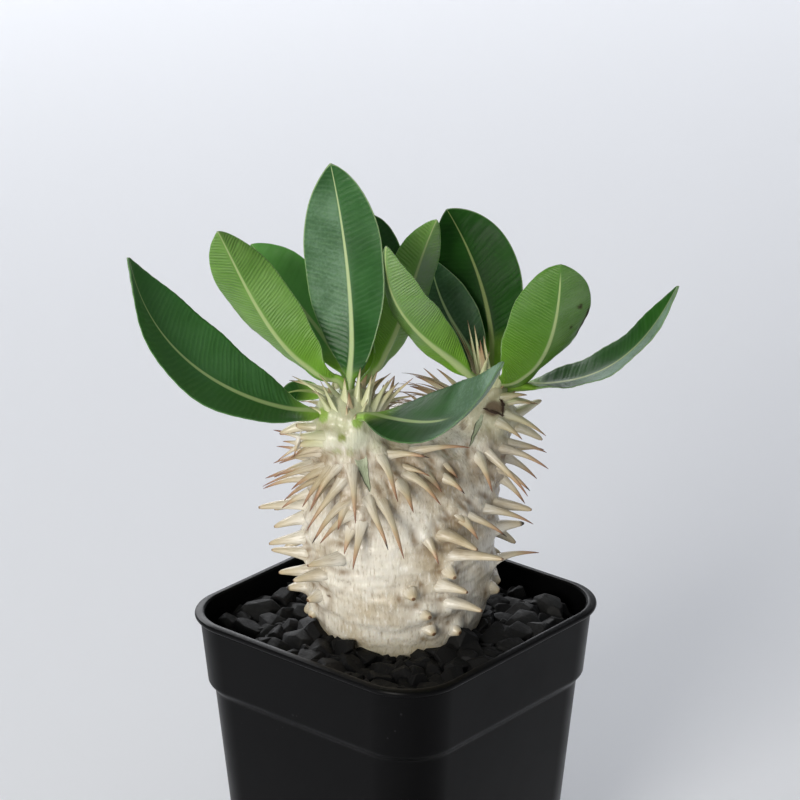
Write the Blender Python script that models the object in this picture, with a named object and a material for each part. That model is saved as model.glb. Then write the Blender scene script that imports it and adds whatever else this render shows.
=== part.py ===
"""A potted pachypodium: a silver, two-headed caudex set with paired spines, thirteen leaves, black gravel,
potting mix, and a square plastic pot with rounded corners and a deep collar.

The pot stands on z = 0 with its axis on the Z axis and its sides along X and Y. The plant is laid out in its own
frame, whose front is -Y, and is turned in the pot by PLANT_TURN. Lists named in millimetres go through mm().
"""

import math

import bmesh
import bpy
import numpy as np
from mathutils import Matrix, Vector
from mathutils.bvhtree import BVHTree

MM = 0.001
GAP = 0.0004

# The pot, outside sizes
POT_SIDE = 0.090
POT_HEIGHT = 0.090
POT_CORNER = 0.0165
POT_TAPER = 0.08
POT_WALL = 0.0012
POT_FLOOR = 0.0016
LIP_REACH = 0.0011
LIP_DEPTH = 0.0022
COLLAR_DEPTH = 0.0210
COLLAR_STEP = 0.0013
STEP_SLOPE = 0.0028
FOOT_ROUND = 0.0020
DRAIN_RADIUS = 0.0045
DRAIN_OFFSET = 0.0200
POINTS_PER_CORNER = 8

# What fills it
GRAVEL_UNDERSIDE = 0.0745
GRAVEL_BED = 0.0815
STONE_PITCH = 0.0066
STONE_RADIUS = (0.0028, 0.0045)
STONE_SEED = 5

# The plant
PLANT_TURN = math.radians(40.3)
CAUDEX_SEGMENTS, CAUDEX_RINGS = 40, 26
SPINE_SEED = 11
GOLDEN_ANGLE = math.radians(137.508)
LOWEST_SPINE = 91.0
SPINE_CLEARANCE = 0.5
LEAF_THICKNESS = 0.85
PETIOLE_THICKNESS = 2.2
LEAF_CLEARANCE = 0.5
LEAF_RINGS = 13
LEAF_ACROSS = (-1.0, -0.5, 0.0, 0.5, 1.0)

# The caudex in millimetres: where its outline is seen from, its girth up the axis, and its two heads
CAUDEX_CENTRE = np.array([3.0, 0.0, 120.0])
BARREL_AXIS = np.array([1.0, 0.0])
BARREL_DEPTH = 0.88
BARREL_TURN = math.radians(20)
BARREL_HEIGHTS = (58, 62, 70, 78, 84, 90, 97, 106, 116, 126, 134, 142, 149)
BARREL_GIRTHS = (-1, 5, 14, 19.5, 22.8, 25.0, 26.4, 26.6, 26.2, 25.2, 22.5, 17, 6)
BLEND = 5.0
HEADS = {
    "left": {
        "limb": ((-5, -4, 118), (-13.5, -10.5, 147), 19.0, 10.0),
        "crown": ((-13.5, -10.5, 147), (-13.0, -8.5, 154), 9.0, 4.5),
        "pairs": 34,
        "start": 0.4,
    },
    "right": {
        "limb": ((10, 3, 116), (23.0, 8.0, 143), 17.0, 9.5),
        "crown": ((23.0, 8.0, 143), (26.5, 8.5, 149.5), 8.5, 4.5),
        "pairs": 30,
        "start": 1.5,
    },
}

# Spines: how thick each kind is at its base and its tip, and how far it bends down, in millimetres and of its length
SPINE_SIDES = 4
SPINE_ROOT = 1.6
SPINE_KINDS = {
    "needle": (1.05, 0.30, 0.10),
    "thorn": (1.45, 0.32, 0.15),
    "peg": (1.85, 0.70, 0.05),
    "stub": (1.70, 0.75, 0.00),
}

# The spines on the side that shows: where each one grows, as a bearing round its limb's axis from the front towards
# +X and a height in millimetres, how long it is in millimetres, and the bearing and the slope that it points along
FRONT_SPINES = {
    "barrel": (
        (-83, 122, 13.5, -80, -2, "peg"), (-77, 119, 9.5, -95, -20, "peg"),
        (-74, 114, 11.0, -95, -16, "peg"), (-72, 109, 10.5, -100, 1, "peg"),
        (-67, 105, 9.5, -96, -9, "peg"), (-52, 106, 9.0, -77, -5, "peg"),
        (-38, 113, 10.0, -63, -2, "peg"), (-25, 125, 14.0, -13, -50, "thorn"),
        (-31, 123, 8.0, -25, -52, "thorn"), (-35, 130, 15.0, -56, -40, "thorn"),
        (-30, 127, 12.5, -60, -32, "thorn"), (-14, 131, 19.0, 27, -38, "thorn"),
        (-22, 132, 17.0, 24, -40, "thorn"), (0, 135, 11.0, 23, -26, "thorn"),
        (5, 137, 15.0, 43, -18, "thorn"), (37, 135, 8.5, 51, -20, "thorn"),
        (42, 125, 6.0, 70, -43, "needle"), (49, 124, 14.0, 88, -30, "thorn"),
        (68, 123, 16.0, 102, -23, "thorn"), (82, 122, 11.0, 93, -11, "peg"),
        (85, 114, 8.5, 104, 5, "peg"), (29, 120, 12.5, 56, -8, "peg"), (36, 113, 16.5, 62, 8, "peg"),
        (84, 104, 14.0, 108, 4, "thorn"), (18, 120, 8.5, 38, -47, "thorn"),
        (34, 109, 4.5, 25, -8, "stub"), (28, 105, 9.0, 56, 0, "peg"), (7, 104, 3.5, 15, -10, "stub"),
        (34, 99, 11.0, 61, 1, "peg"), (16, 97, 3.5, 32, 5, "stub"), (21, 92, 3.0, 30, -14, "stub"),
        (41, 90, 3.0, 46, -7, "stub"), (80, 97, 3.0, 74, -18, "stub"), (-58, 99, 4.5, -45, -5, "stub"),
        (-78, 98, 6.0, -88, -8, "peg"), (8, 142, 17.0, 84, 6, "thorn"),
    ),
    "left": (
        (-15, 140, 12.5, -53, -48, "thorn"), (6, 141, 17.0, 9, -50, "thorn"),
        (-5, 136, 17.0, -55, -46, "thorn"), (50, 143, 16.0, 25, -36, "thorn"),
        (56, 142, 12.5, 79, 2, "thorn"), (-86, 140, 12.0, -105, -20, "needle"),
        (-76, 144, 9.5, -105, 12, "needle"), (-96, 137, 8.0, -125, -4, "needle"),
        (-100, 134, 13.0, -80, -5, "thorn"), (-106, 131, 15.0, -112, -19, "thorn"),
        (-95, 128, 9.5, -95, -32, "thorn"), (-27, 139, 13.5, -48, -40, "thorn"),
        (46, 156, 9.0, 156, 65, "needle"), (60, 155, 10.0, 136, 62, "needle"),
        (80, 153, 10.0, 118, 43, "needle"), (-130, 156, 12.5, -80, 22, "needle"),
        (-160, 156, 10.0, -150, 48, "needle"), (170, 156, 9.0, 170, 55, "needle"),
        (64, 139, 9.0, 74, -13, "needle"),
    ),
    "right": (
        (44, 128, 11.0, 92, -50, "thorn"), (-2, 137, 13.5, 18, -28, "thorn"),
        (36, 137, 15.5, 100, -27, "thorn"), (58, 137, 13.5, 112, -20, "thorn"),
        (28, 132, 12.0, 90, -38, "thorn"), (60, 133, 12.0, 100, -38, "thorn"),
        (60, 146, 12.0, 84, -30, "thorn"), (78, 149, 9.0, 105, -14, "needle"),
        (33, 145, 8.5, 62, -28, "peg"), (-95, 147, 12.0, -85, 28, "thorn"),
        (-120, 148, 12.0, -100, 24, "thorn"), (-80, 143, 14.0, -70, 18, "thorn"),
        (-150, 147, 11.0, -130, 30, "needle"), (8, 138, 17.5, 62, -42, "thorn"),
    ),
}
SPINE_SPACING = 6.4
FACING_FRONT = -0.35
BARREL_PAIRS = 46

# Each leaf in millimetres: four points along its midrib, from base to tip, its width, the way its upper face looks at
# the base and at the tip, how far its halves fold up, how much they cup, and how far along it is widest
LEAVES = {
    "leaf_left_low": (((-20, -14, 153), (-37, -22, 159.5), (-57.5, -26, 174.5), (-70.5, -24, 201)),
                      26, (0, -0.25, 0.97), (0.93, -0.27, -0.27), 0.21, 0.10, 0.66),
    "leaf_left_pale": (((-16, -10, 161.5), (-29, -10, 170), (-39, -11, 186), (-47.5, -13, 204.5)),
                       19, (0.68, 0.62, 0.4), (0.15, 0.46, -0.88), 0.35, 0.15, 0.52),
    "leaf_left_rear": (((-13.5, -4, 160), (-20.5, 4, 169), (-30, 12, 179), (-40, 18, 190.5)),
                       19.5, (0.42, -0.81, 0.41), (0.29, -0.91, 0.29), 0.15, 0.10, 0.60),
    "leaf_left_tall": (((-12.5, -9, 159.5), (-12, -6, 177.5), (-14, -3, 199), (-17.5, -4, 220.5)),
                       22.5, (-0.54, -0.84, 0.01), (-0.03, -0.88, 0.47), 0.21, 0.07, 0.54),
    "leaf_left_front": (((-9, -20, 154.5), (2, -34, 158.5), (15.5, -46, 164.5), (27.5, -54, 183)),
                        25.5, (0, 0.02, 1), (-0.98, 0.17, 0.14), 0.18, 0.08, 0.55),
    "leaf_left_back": (((-9.5, 2, 157), (-8, 10.5, 169), (-6, 17.5, 183.5), (-6.5, 21, 198)),
                       19, (-0.11, -0.86, 0.5), (-0.39, -0.9, 0.2), 0.15, 0.10, 0.60),
    "leaf_left_inner": (((-7.5, -3.5, 160), (-0.5, 4.5, 169.5), (5, 11, 183.5), (11, 14, 199)),
                        15.5, (-0.46, 0.82, 0.34), (-0.33, 0.92, -0.2), 0.28, 0.08, 0.54),
    "leaf_left_small": (((-18.5, -4, 155), (-22.5, 0, 154.5), (-27, 4, 153.5), (-32.5, 8, 149.5)),
                        8, (-0.1, 0.1, 1), (-0.4, 0.1, 0.9), 0.30, 0.10, 0.55),
    "leaf_right_inner": (((21, 4, 156.5), (11, -1, 167), (1, -6, 180.5), (-2.5, -9, 199)),
                         16, (0.35, 0.82, -0.45), (0.61, 0.73, 0.3), 0.51, 0.11, 0.57),
    "leaf_right_back": (((26.5, 15, 153), (26, 21, 167.5), (21.5, 26, 182.5), (14, 29, 197)),
                        24, (-0.39, -0.88, 0.25), (0.01, -0.91, 0.41), 0.11, 0.10, 0.57),
    "leaf_right_pale": (((28, 6, 154.5), (39, 2, 162), (43.5, -1, 177), (44.5, -2, 191.5)),
                        25, (-0.81, 0.55, 0.2), (0.03, 0.98, 0.19), 0.22, 0.15, 0.45),
    "leaf_right_long": (((33, 9.5, 151.5), (47, 10.5, 152.5), (62.5, 9, 160), (77, 6, 182.5)),
                        17, (0.03, 0.11, 0.99), (-0.33, -0.3, 0.9), 0.05, 0.06, 0.50),
    "leaf_right_dark": (((24, 11, 155), (18.5, 15, 163.5), (13, 19.5, 172.5), (9.5, 22, 185)),
                        16, (0.2, -0.8, 0.55), (0.1, -0.9, 0.35), 0.20, 0.10, 0.55),
}


def mm(*values):
    """A point given in millimetres."""
    return Vector(values) * MM


def turned(vector):
    """A vector of the plant's frame in the pot's frame."""
    return Matrix.Rotation(PLANT_TURN, 3, "Z") @ Vector(vector)


def smoothstep(low, high, value):
    """0 at low and below it, 1 at high and above it, with an even curve between."""
    x = min(max((value - low) / (high - low), 0.0), 1.0)
    return x * x * (3.0 - 2.0 * x)


# Shared building blocks


def make_material(name, color, roughness):
    """A plain Principled material."""
    material = bpy.data.materials.new(name)
    material.use_nodes = True
    shader = material.node_tree.nodes["Principled BSDF"]
    shader.inputs["Base Color"].default_value = (*color, 1.0)
    shader.inputs["Roughness"].default_value = roughness
    shader.inputs["Metallic"].default_value = 0.0
    material.diffuse_color = (*color, 1.0)
    return material


def add_object(name, bm, material, collection):
    """Turn the bmesh into a named object in the collection."""
    bmesh.ops.recalc_face_normals(bm, faces=bm.faces)
    mesh = bpy.data.meshes.new(name)
    bm.to_mesh(mesh)
    bm.free()
    mesh.materials.append(material)
    part = bpy.data.objects.new(name, mesh)
    collection.objects.link(part)
    return part


def loft(bm, rings):
    """Add a closed skin through rings of as many points each, capped at both ends."""
    loops = [[bm.verts.new(point) for point in ring] for ring in rings]
    for lower, upper in zip(loops, loops[1:]):
        for i in range(len(lower)):
            j = (i + 1) % len(lower)
            bm.faces.new((lower[i], lower[j], upper[j], upper[i]))
    bm.faces.new(list(reversed(loops[0])))
    bm.faces.new(loops[-1])


def apply_modifiers(part):
    """Replace the object's mesh by its evaluated one."""
    depsgraph = bpy.context.evaluated_depsgraph_get()
    depsgraph.update()
    mesh = bpy.data.meshes.new_from_object(part.evaluated_get(depsgraph))
    part.modifiers.clear()
    part.data = mesh


def join_with(part, name, pieces, operation="UNION", solver="MANIFOLD"):
    """Join the pieces to the part, or cut them from it, with one Boolean, and remove them."""
    collection = bpy.data.collections.new(name)
    bpy.context.scene.collection.children.link(collection)
    for piece in pieces:
        for owner in list(piece.users_collection):
            owner.objects.unlink(piece)
        collection.objects.link(piece)
    modifier = part.modifiers.new(name, "BOOLEAN")
    modifier.operation = operation
    modifier.operand_type = "COLLECTION"
    modifier.collection = collection
    modifier.solver = solver
    apply_modifiers(part)
    for piece in pieces:
        bpy.data.objects.remove(piece)
    bpy.data.collections.remove(collection)


def keep_outer_skin(part):
    """Fill the hollows that joining has sealed, by dropping every skin but the one with the most faces."""
    bm = bmesh.new()
    bm.from_mesh(part.data)
    bmesh.ops.triangulate(bm, faces=bm.faces)
    unseen = set(bm.faces)
    skins = []
    while unseen:
        skin, edge_of_search = set(), [unseen.pop()]
        while edge_of_search:
            face = edge_of_search.pop()
            skin.add(face)
            plain_edges = [edge for edge in face.edges if len(edge.link_faces) == 2]
            for other in (other for edge in plain_edges for other in edge.link_faces):
                if other in unseen:
                    unseen.discard(other)
                    edge_of_search.append(other)
        skins.append(skin)
    outer = max(skins, key=len)
    bmesh.ops.delete(bm, geom=[face for face in bm.faces if face not in outer], context="FACES")
    bm.to_mesh(part.data)
    bm.free()


# The pot and what fills it


def rounded_square(half, corner, z):
    """The outline of a square with round corners at height z, as points."""
    points = []
    for quarter in range(4):
        start = math.radians(90 * quarter)
        centre = Matrix.Rotation(start, 3, "Z") @ Vector((half - corner, half - corner, z))
        for i in range(POINTS_PER_CORNER):
            angle = start + math.radians(90) * i / (POINTS_PER_CORNER - 1)
            points.append(centre + corner * Vector((math.cos(angle), math.sin(angle), 0)))
    return points


def outer_half(z):
    """Half the pot's outer width at height z, without its lip."""
    collar = POT_SIDE / 2 - LIP_REACH - POT_TAPER * (POT_HEIGHT - z)
    step = COLLAR_STEP * (1 - smoothstep(-STEP_SLOPE, 0, z - (POT_HEIGHT - COLLAR_DEPTH)))
    return collar - step


def pot_ring(z, inset):
    """The pot's outline at height z, moved inwards by inset."""
    half = outer_half(z) - inset
    corner = POT_CORNER - inset - POT_TAPER * (POT_HEIGHT - z) * 0.5
    return rounded_square(half, corner, z)


def make_pot(material, collection):
    """The pot: up its outer side, over its rolled lip, and down its inner side to the floor."""
    collar_foot = POT_HEIGHT - COLLAR_DEPTH
    lip_middle = POT_HEIGHT - LIP_DEPTH / 2
    outside = [
        (0.0, FOOT_ROUND * 0.8),
        (FOOT_ROUND, 0.0),
        (collar_foot - STEP_SLOPE, 0.0),
        (collar_foot, 0.0),
        (POT_HEIGHT - LIP_DEPTH, 0.0),
        (lip_middle - LIP_DEPTH * 0.25, -LIP_REACH * 0.8),
        (lip_middle, -LIP_REACH),
        (lip_middle + LIP_DEPTH * 0.4, -LIP_REACH * 0.7),
    ]
    inside = [
        (POT_HEIGHT, LIP_REACH * 0.2),
        (POT_HEIGHT - 0.0004, POT_WALL),
        (collar_foot, POT_WALL),
        (collar_foot - STEP_SLOPE, POT_WALL),
        (POT_FLOOR + FOOT_ROUND, POT_WALL),
        (POT_FLOOR, POT_WALL + FOOT_ROUND * 0.8),
    ]
    bm = bmesh.new()
    loft(bm, [pot_ring(z, inset) for z, inset in outside + inside])
    pot = add_object("pot", bm, material, collection)
    join_with(pot, "drain_holes", [drain_cutter(i, collection) for i in range(8)], "DIFFERENCE", "EXACT")
    return pot


def drain_cutter(index, collection):
    """A round hole near a corner of the floor for an even index, and one by a side for an odd one."""
    angle = math.radians(45 * index)
    reach = DRAIN_OFFSET * (1.0 if index % 2 else 1.3)
    bm = bmesh.new()
    bmesh.ops.create_cone(
        bm, cap_ends=True, segments=16, radius1=DRAIN_RADIUS, radius2=DRAIN_RADIUS, depth=6 * POT_FLOOR,
        matrix=Matrix.Translation((reach * math.sin(angle), reach * math.cos(angle), 0)),
    )
    return add_object(f"drain_cutter_{index}", bm, None, collection)


def barrel_girth(z):
    """The barrel's half-width along its wide side at height z, both in millimetres."""
    return np.interp(z, BARREL_HEIGHTS, BARREL_GIRTHS, left=-9.0, right=-4.0)


def barrel_ring(z, clearance):
    """An oval round the barrel at height z, in the pot's frame."""
    girth = float(barrel_girth(z / MM)) * MM + clearance
    centre = Vector((BARREL_AXIS[0] * MM, BARREL_AXIS[1] * MM, z))
    points = []
    for i in range(32):
        angle = math.tau * i / 32
        offset = Vector((girth * math.cos(angle), girth * BARREL_DEPTH * math.sin(angle), 0))
        points.append(turned(centre + Matrix.Rotation(BARREL_TURN, 3, "Z") @ offset))
    return points


def root_hole(bottom, top, clearance, collection):
    """A cutter for the plain hole that the caudex stands in, between two heights."""
    bm = bmesh.new()
    heights = [bottom + (top - bottom) * i / 5 for i in range(6)]
    loft(bm, [barrel_ring(z, clearance) for z in heights])
    return add_object("root_hole", bm, None, collection)


def make_potting_mix(material, collection):
    """The soil: what fills the pot from its floor to the underside of the gravel, with a hole for the root."""
    top = GRAVEL_UNDERSIDE - GAP
    collar_foot = POT_HEIGHT - COLLAR_DEPTH
    heights = (POT_FLOOR + GAP, POT_FLOOR + FOOT_ROUND + GAP, collar_foot - STEP_SLOPE, collar_foot, top)
    insets = (POT_WALL + FOOT_ROUND + GAP, POT_WALL + GAP, POT_WALL + GAP, POT_WALL + GAP, POT_WALL + GAP)
    bm = bmesh.new()
    loft(bm, [pot_ring(z, inset) for z, inset in zip(heights, insets)])
    soil = add_object("potting_mix", bm, material, collection)
    hole = root_hole(0.059, top + 0.002, 0.0012, collection)
    join_with(soil, "root_hole", [hole], "DIFFERENCE", "EXACT")
    return soil


def stone_sites():
    """Where the stones lie: a loose grid over the bed, clear of the pot's wall and of the caudex."""
    draw = np.random.default_rng(STONE_SEED)
    half = outer_half(GRAVEL_BED) - POT_WALL - GAP
    corner = POT_CORNER - POT_WALL
    rows = int(2 * half / STONE_PITCH) + 2
    for row in range(rows):
        for column in range(rows):
            jitter = draw.uniform(-0.28, 0.28, 2) * STONE_PITCH
            x = (column - (rows - 1) / 2 + 0.5 * (row % 2) - 0.25) * STONE_PITCH + jitter[0]
            y = (row - (rows - 1) / 2) * STONE_PITCH * 0.92 + jitter[1]
            radius = draw.uniform(*STONE_RADIUS)
            lift = draw.uniform(-0.3, 0.25) * radius
            flatness = draw.uniform(0.62, 0.9)
            turn = draw.uniform(0, math.tau, 3)
            beyond = Vector((max(abs(x) - half + corner, 0), max(abs(y) - half + corner, 0)))
            to_wall = corner - beyond.length
            plant = Matrix.Rotation(-PLANT_TURN - BARREL_TURN, 3, "Z") @ (
                Vector((x, y, 0)) - turned(Vector((*BARREL_AXIS, 0)) * MM))
            to_caudex = math.hypot(plant.x, plant.y / BARREL_DEPTH) - float(barrel_girth(85.0)) * MM
            if to_wall > radius + 2 * GAP and to_caudex > radius + 2 * GAP:
                yield Vector((x, y, GRAVEL_BED + lift)), radius, flatness, turn


def make_stone(site, radius, flatness, turn, collection):
    """One angular stone, a twenty-sided solid pressed flat and turned."""
    bm = bmesh.new()
    bmesh.ops.create_icosphere(bm, subdivisions=1, radius=radius)
    tumble = Matrix.Rotation(turn[0], 3, "X") @ Matrix.Rotation(turn[1], 3, "Y")
    for vert in bm.verts:
        vert.co = tumble @ vert.co
        vert.co = Vector((vert.co.x, vert.co.y * 0.86, vert.co.z * flatness))
        vert.co = site + Matrix.Rotation(turn[2], 3, "Z") @ vert.co
    return add_object("stone", bm, None, collection)


def make_gravel(material, collection):
    """The top dressing: a bed of fine gravel with the larger stones fused into it."""
    bm = bmesh.new()
    loft(bm, [pot_ring(z, POT_WALL + GAP) for z in (GRAVEL_UNDERSIDE, GRAVEL_BED)])
    gravel = add_object("gravel", bm, material, collection)
    hole = root_hole(GRAVEL_UNDERSIDE - 0.002, GRAVEL_BED + 0.002, 0.0009, collection)
    join_with(gravel, "root_hole", [hole], "DIFFERENCE", "EXACT")
    stones = [make_stone(*site, collection) for site in stone_sites()]
    join_with(gravel, "stones", stones, solver="EXACT")
    keep_outer_skin(gravel)
    return gravel


# The caudex


def round_cone(points, start, end, start_radius, end_radius):
    """Signed distance, in millimetres, to a rod with round ends that tapers from start to end."""
    start, end = np.asarray(start, float), np.asarray(end, float)
    axis = end - start
    along = np.clip((points - start) @ axis / (axis @ axis), 0, 1)
    radius = start_radius + (end_radius - start_radius) * along
    return np.linalg.norm(points - start - along[:, None] * axis, axis=1) - radius


def blend(first, second, reach):
    """Join two signed distances with a fillet of about the given reach."""
    mix = np.clip(0.5 + 0.5 * (second - first) / reach, 0, 1)
    return second + (first - second) * mix - reach * mix * (1 - mix)


def caudex_field(points):
    """Signed distance to the caudex, roughly, at points of the plant's frame in millimetres."""
    cos_turn, sin_turn = math.cos(BARREL_TURN), math.sin(BARREL_TURN)
    x, y = points[:, 0] - BARREL_AXIS[0], points[:, 1] - BARREL_AXIS[1]
    wide = x * cos_turn + y * sin_turn
    deep = (y * cos_turn - x * sin_turn) / BARREL_DEPTH
    field = np.hypot(wide, deep) - barrel_girth(points[:, 2])
    for head in HEADS.values():
        field = blend(field, round_cone(points, *head["limb"]), BLEND)
        field = blend(field, round_cone(points, *head["crown"]), BLEND / 2)
    return field


def caudex_reach(directions):
    """How far the caudex's surface lies from its centre in each direction, in millimetres."""
    distances = np.linspace(75, 4, 143)
    samples = CAUDEX_CENTRE + directions[:, None, :] * distances[None, :, None]
    inside = caudex_field(samples.reshape(-1, 3)).reshape(len(directions), -1) < 0
    first = inside.argmax(axis=1)
    low, high = distances[first], distances[np.maximum(first - 1, 0)]
    for _ in range(14):
        middle = (low + high) / 2
        is_inside = caudex_field(CAUDEX_CENTRE + directions * middle[:, None]) < 0
        low, high = np.where(is_inside, middle, low), np.where(is_inside, high, middle)
    return low


def caudex_mesh():
    """The body and its two heads in the plant's frame, a sphere whose points are moved to the surface."""
    bm = bmesh.new()
    bmesh.ops.create_uvsphere(bm, u_segments=CAUDEX_SEGMENTS, v_segments=CAUDEX_RINGS, radius=1)
    directions = np.array([vert.co.normalized() for vert in bm.verts])
    for vert, direction, reach in zip(bm.verts, directions, caudex_reach(directions)):
        vert.co = Vector(CAUDEX_CENTRE + direction * reach) * MM
    return bm


def horizontal(bearing):
    """The way a bearing in degrees points, counted from the front towards +X."""
    angle = math.radians(bearing)
    return np.array([math.sin(angle), -math.cos(angle), 0.0])


def surface_along(origin, direction):
    """Where a ray from inside the caudex leaves it, in millimetres."""
    steps = np.arange(60, 0, -0.2)
    inside = caudex_field(origin + steps[:, None] * direction) < 0
    return origin + steps[inside.argmax()] * direction


def surface_normal(point):
    """The outward normal of the caudex at a point of its surface."""
    offsets = np.eye(3) * 0.5
    gradient = caudex_field(point + offsets) - caudex_field(point - offsets)
    return gradient / np.linalg.norm(gradient)


def limb_axis(name):
    """A point on the axis that a limb's bearings are counted round."""
    return np.array([*BARREL_AXIS, 0.0]) if name == "barrel" else np.array([*HEADS[name]["limb"][1][:2], 0.0])


def placed_spines():
    """The spines of FRONT_SPINES, as their base, direction, length and kind."""
    for limb, spines in FRONT_SPINES.items():
        for bearing, height, length, aim, rise, kind in spines:
            base = surface_along(limb_axis(limb) + [0, 0, height], horizontal(bearing))
            slope = math.radians(rise)
            direction = horizontal(aim) * math.cos(slope) + np.array([0, 0, math.sin(slope)])
            yield base, direction, length, kind


def spiral_sites():
    """Where the other pairs grow: a golden-angle spiral down each head, and one round the barrel."""
    for name, head in HEADS.items():
        centre, apex = np.array(head["limb"][1], float), np.array(head["crown"][1], float)
        tilt = Vector(apex - np.array(head["limb"][0])).to_track_quat("Z", "Y")
        for k in range(head["pairs"]):
            polar = math.radians(34 + 100 * ((k + 0.5) / head["pairs"]) ** 0.85)
            angle = head["start"] + k * GOLDEN_ANGLE
            ray = Vector((math.sin(polar) * math.cos(angle), math.sin(polar) * math.sin(angle), math.cos(polar)))
            yield surface_along(centre, np.array(tilt @ ray)), apex
    centre = np.array([*BARREL_AXIS, 112.0])
    for k in range(BARREL_PAIRS):
        slope = math.radians(62 - 102 * ((k + 0.5) / BARREL_PAIRS) ** 0.8)
        ray = horizontal(math.degrees(k * GOLDEN_ANGLE)) * math.cos(slope) + [0, 0, math.sin(slope)]
        yield surface_along(centre, ray), centre + [0, 0, 45]


def grown_spines(taken):
    """Pairs of spines on the spirals, where the skin faces away from the front and no spine is near."""
    draw = np.random.default_rng(SPINE_SEED)
    bases = [base for base, *rest in taken]
    for site, apex in spiral_sites():
        turn, scale = draw.uniform(-0.25, 0.25), draw.uniform(0.85, 1.15)
        if site[2] < LOWEST_SPINE or min(np.linalg.norm(site - base) for base in bases) < SPINE_SPACING:
            continue
        normal = surface_normal(site)
        if normal[1] < FACING_FRONT:
            continue
        bases.append(site)
        up = apex - site
        age = float(np.clip((np.linalg.norm(up) - 8) / 42, 0, 1))
        up = up - normal * (up @ normal)
        up /= max(np.linalg.norm(up), 1e-6)
        side = np.cross(normal, up)
        side = side * math.cos(turn) + up * math.sin(turn)
        kind = "needle" if age < 0.22 else "thorn" if age < 0.68 else "peg"
        length = scale * {"needle": 10.5, "thorn": 13.5, "peg": 9.5}[kind]
        for hand in (-1, 1):
            direction = normal * 0.85 + side * hand * 0.5 + up * (0.45 - 0.95 * age)
            direction[2] = max(direction[2], -0.55)
            yield site + side * hand * 1.3, direction / np.linalg.norm(direction), length, kind


def spine_axis(base, direction, length, bend):
    """Points along a spine from under the skin to its tip, bending down on the way."""
    sag = np.array([0, 0, -1.0]) - direction * -direction[2]
    stations = np.array([-SPINE_ROOT / length, 0.25, 0.62, 1.0])
    lift = stations * (1 - stations)
    return base + np.outer(stations * length, direction) - np.outer(lift * length * bend * 2, sag)


def spine_is_clear(points, radius, neighbours):
    """Whether a spine keeps off the leaves, the gravel and the pot."""
    samples = [points[1] + (points[3] - points[1]) * i / 8 for i in range(-2, 9)]
    for point in samples:
        place = turned(mm(*point))
        for tree in neighbours:
            if tree.find_nearest(place, (radius + SPINE_CLEARANCE) * MM)[0] is not None:
                return False
    return True


def make_spine(spine, neighbours, collection):
    """One spine, cut shorter where it would meet a neighbour, or none where it can't be."""
    base, direction, length, kind = spine
    base_radius, tip_radius, bend = SPINE_KINDS[kind]
    for share in (1.0, 0.8, 0.6, 0.4):
        points = spine_axis(base, direction, length * share, bend)
        if spine_is_clear(points, base_radius, neighbours):
            break
    else:
        return None
    radii = (base_radius * 1.15, base_radius, base_radius * 0.45 + tip_radius * 0.55, tip_radius)
    bm = bmesh.new()
    rings = []
    for i, (point, radius) in enumerate(zip(points, radii)):
        ahead = Vector(points[min(i + 1, 3)] - points[max(i - 1, 0)])
        frame = ahead.to_track_quat("Z", "Y")
        ring = []
        for k in range(SPINE_SIDES):
            angle = math.tau * k / SPINE_SIDES
            offset = frame @ Vector((math.cos(angle) * radius, math.sin(angle) * radius, 0))
            ring.append(turned((Vector(point) + offset) * MM))
        rings.append(ring)
    loft(bm, rings)
    return add_object("spine", bm, None, collection)


def make_caudex(material, collection, neighbours):
    """The swollen trunk with its two heads, and every spine fused into its skin."""
    bm = caudex_mesh()
    bmesh.ops.transform(bm, matrix=Matrix.Rotation(PLANT_TURN, 4, "Z"), verts=bm.verts)
    caudex = add_object("caudex", bm, material, collection)
    front = list(placed_spines())
    spines = [make_spine(spine, neighbours, collection) for spine in front + list(grown_spines(front))]
    join_with(caudex, "spines", [spine for spine in spines if spine])
    keep_outer_skin(caudex)
    return caudex


# The leaves


def along_midrib(points, t):
    """The smooth curve through four points at even steps, at t from 0 to 1, and its direction."""
    places = (0, 1 / 3, 2 / 3, 1)

    def curve(at):
        total = np.zeros(3)
        for i, point in enumerate(points):
            weight = 1.0
            for j, other in enumerate(places):
                if j != i:
                    weight *= (at - other) / (places[i] - other)
            total += weight * np.array(point, float)
        return total

    heading = curve(t + 0.005) - curve(t - 0.005)
    return curve(t), heading / np.linalg.norm(heading)


def blade_width(t, widest):
    """The blade's half-width at t, as a share of its widest: drawn out to the stalk and blunt at the tip."""
    if t < widest:
        return (1 - ((widest - t) / widest) ** 2) ** 1.05
    return max(1 - ((t - widest) / (1 - widest)) ** 2.4, 0) ** 0.75


def leaf_ring(leaf, t):
    """The points round a leaf's section at t, in millimetres: across its upper face, and back across its lower."""
    points, width, face_at_base, face_at_tip, fold, cup, widest = leaf
    centre, heading = along_midrib(points, t)
    face = np.array(face_at_base) * (1 - t) + np.array(face_at_tip) * t
    side = np.cross(heading, face)
    side /= np.linalg.norm(side)
    normal = np.cross(side, heading)
    half = max(width / 2 * blade_width(t, widest), 1.3 if t < 0.5 else 0.7)
    stalk = 1 - smoothstep(0.06, 0.22, t)
    thickness = LEAF_THICKNESS + (PETIOLE_THICKNESS - LEAF_THICKNESS) * stalk
    blade = 1 - stalk
    upper, lower = [], []
    for v in LEAF_ACROSS:
        lift = (fold * abs(v) + cup * v * v) * half * blade
        place = centre + side * v * half * math.cos(math.atan(fold)) + normal * lift
        depth = thickness / 2 * (1 - 0.35 * stalk * v * v * v * v) * (1 + 0.5 * (1 - abs(v)) * (1 - t))
        upper.append(place + normal * depth)
        lower.append(place - normal * depth)
    return upper + lower[::-1]


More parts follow.
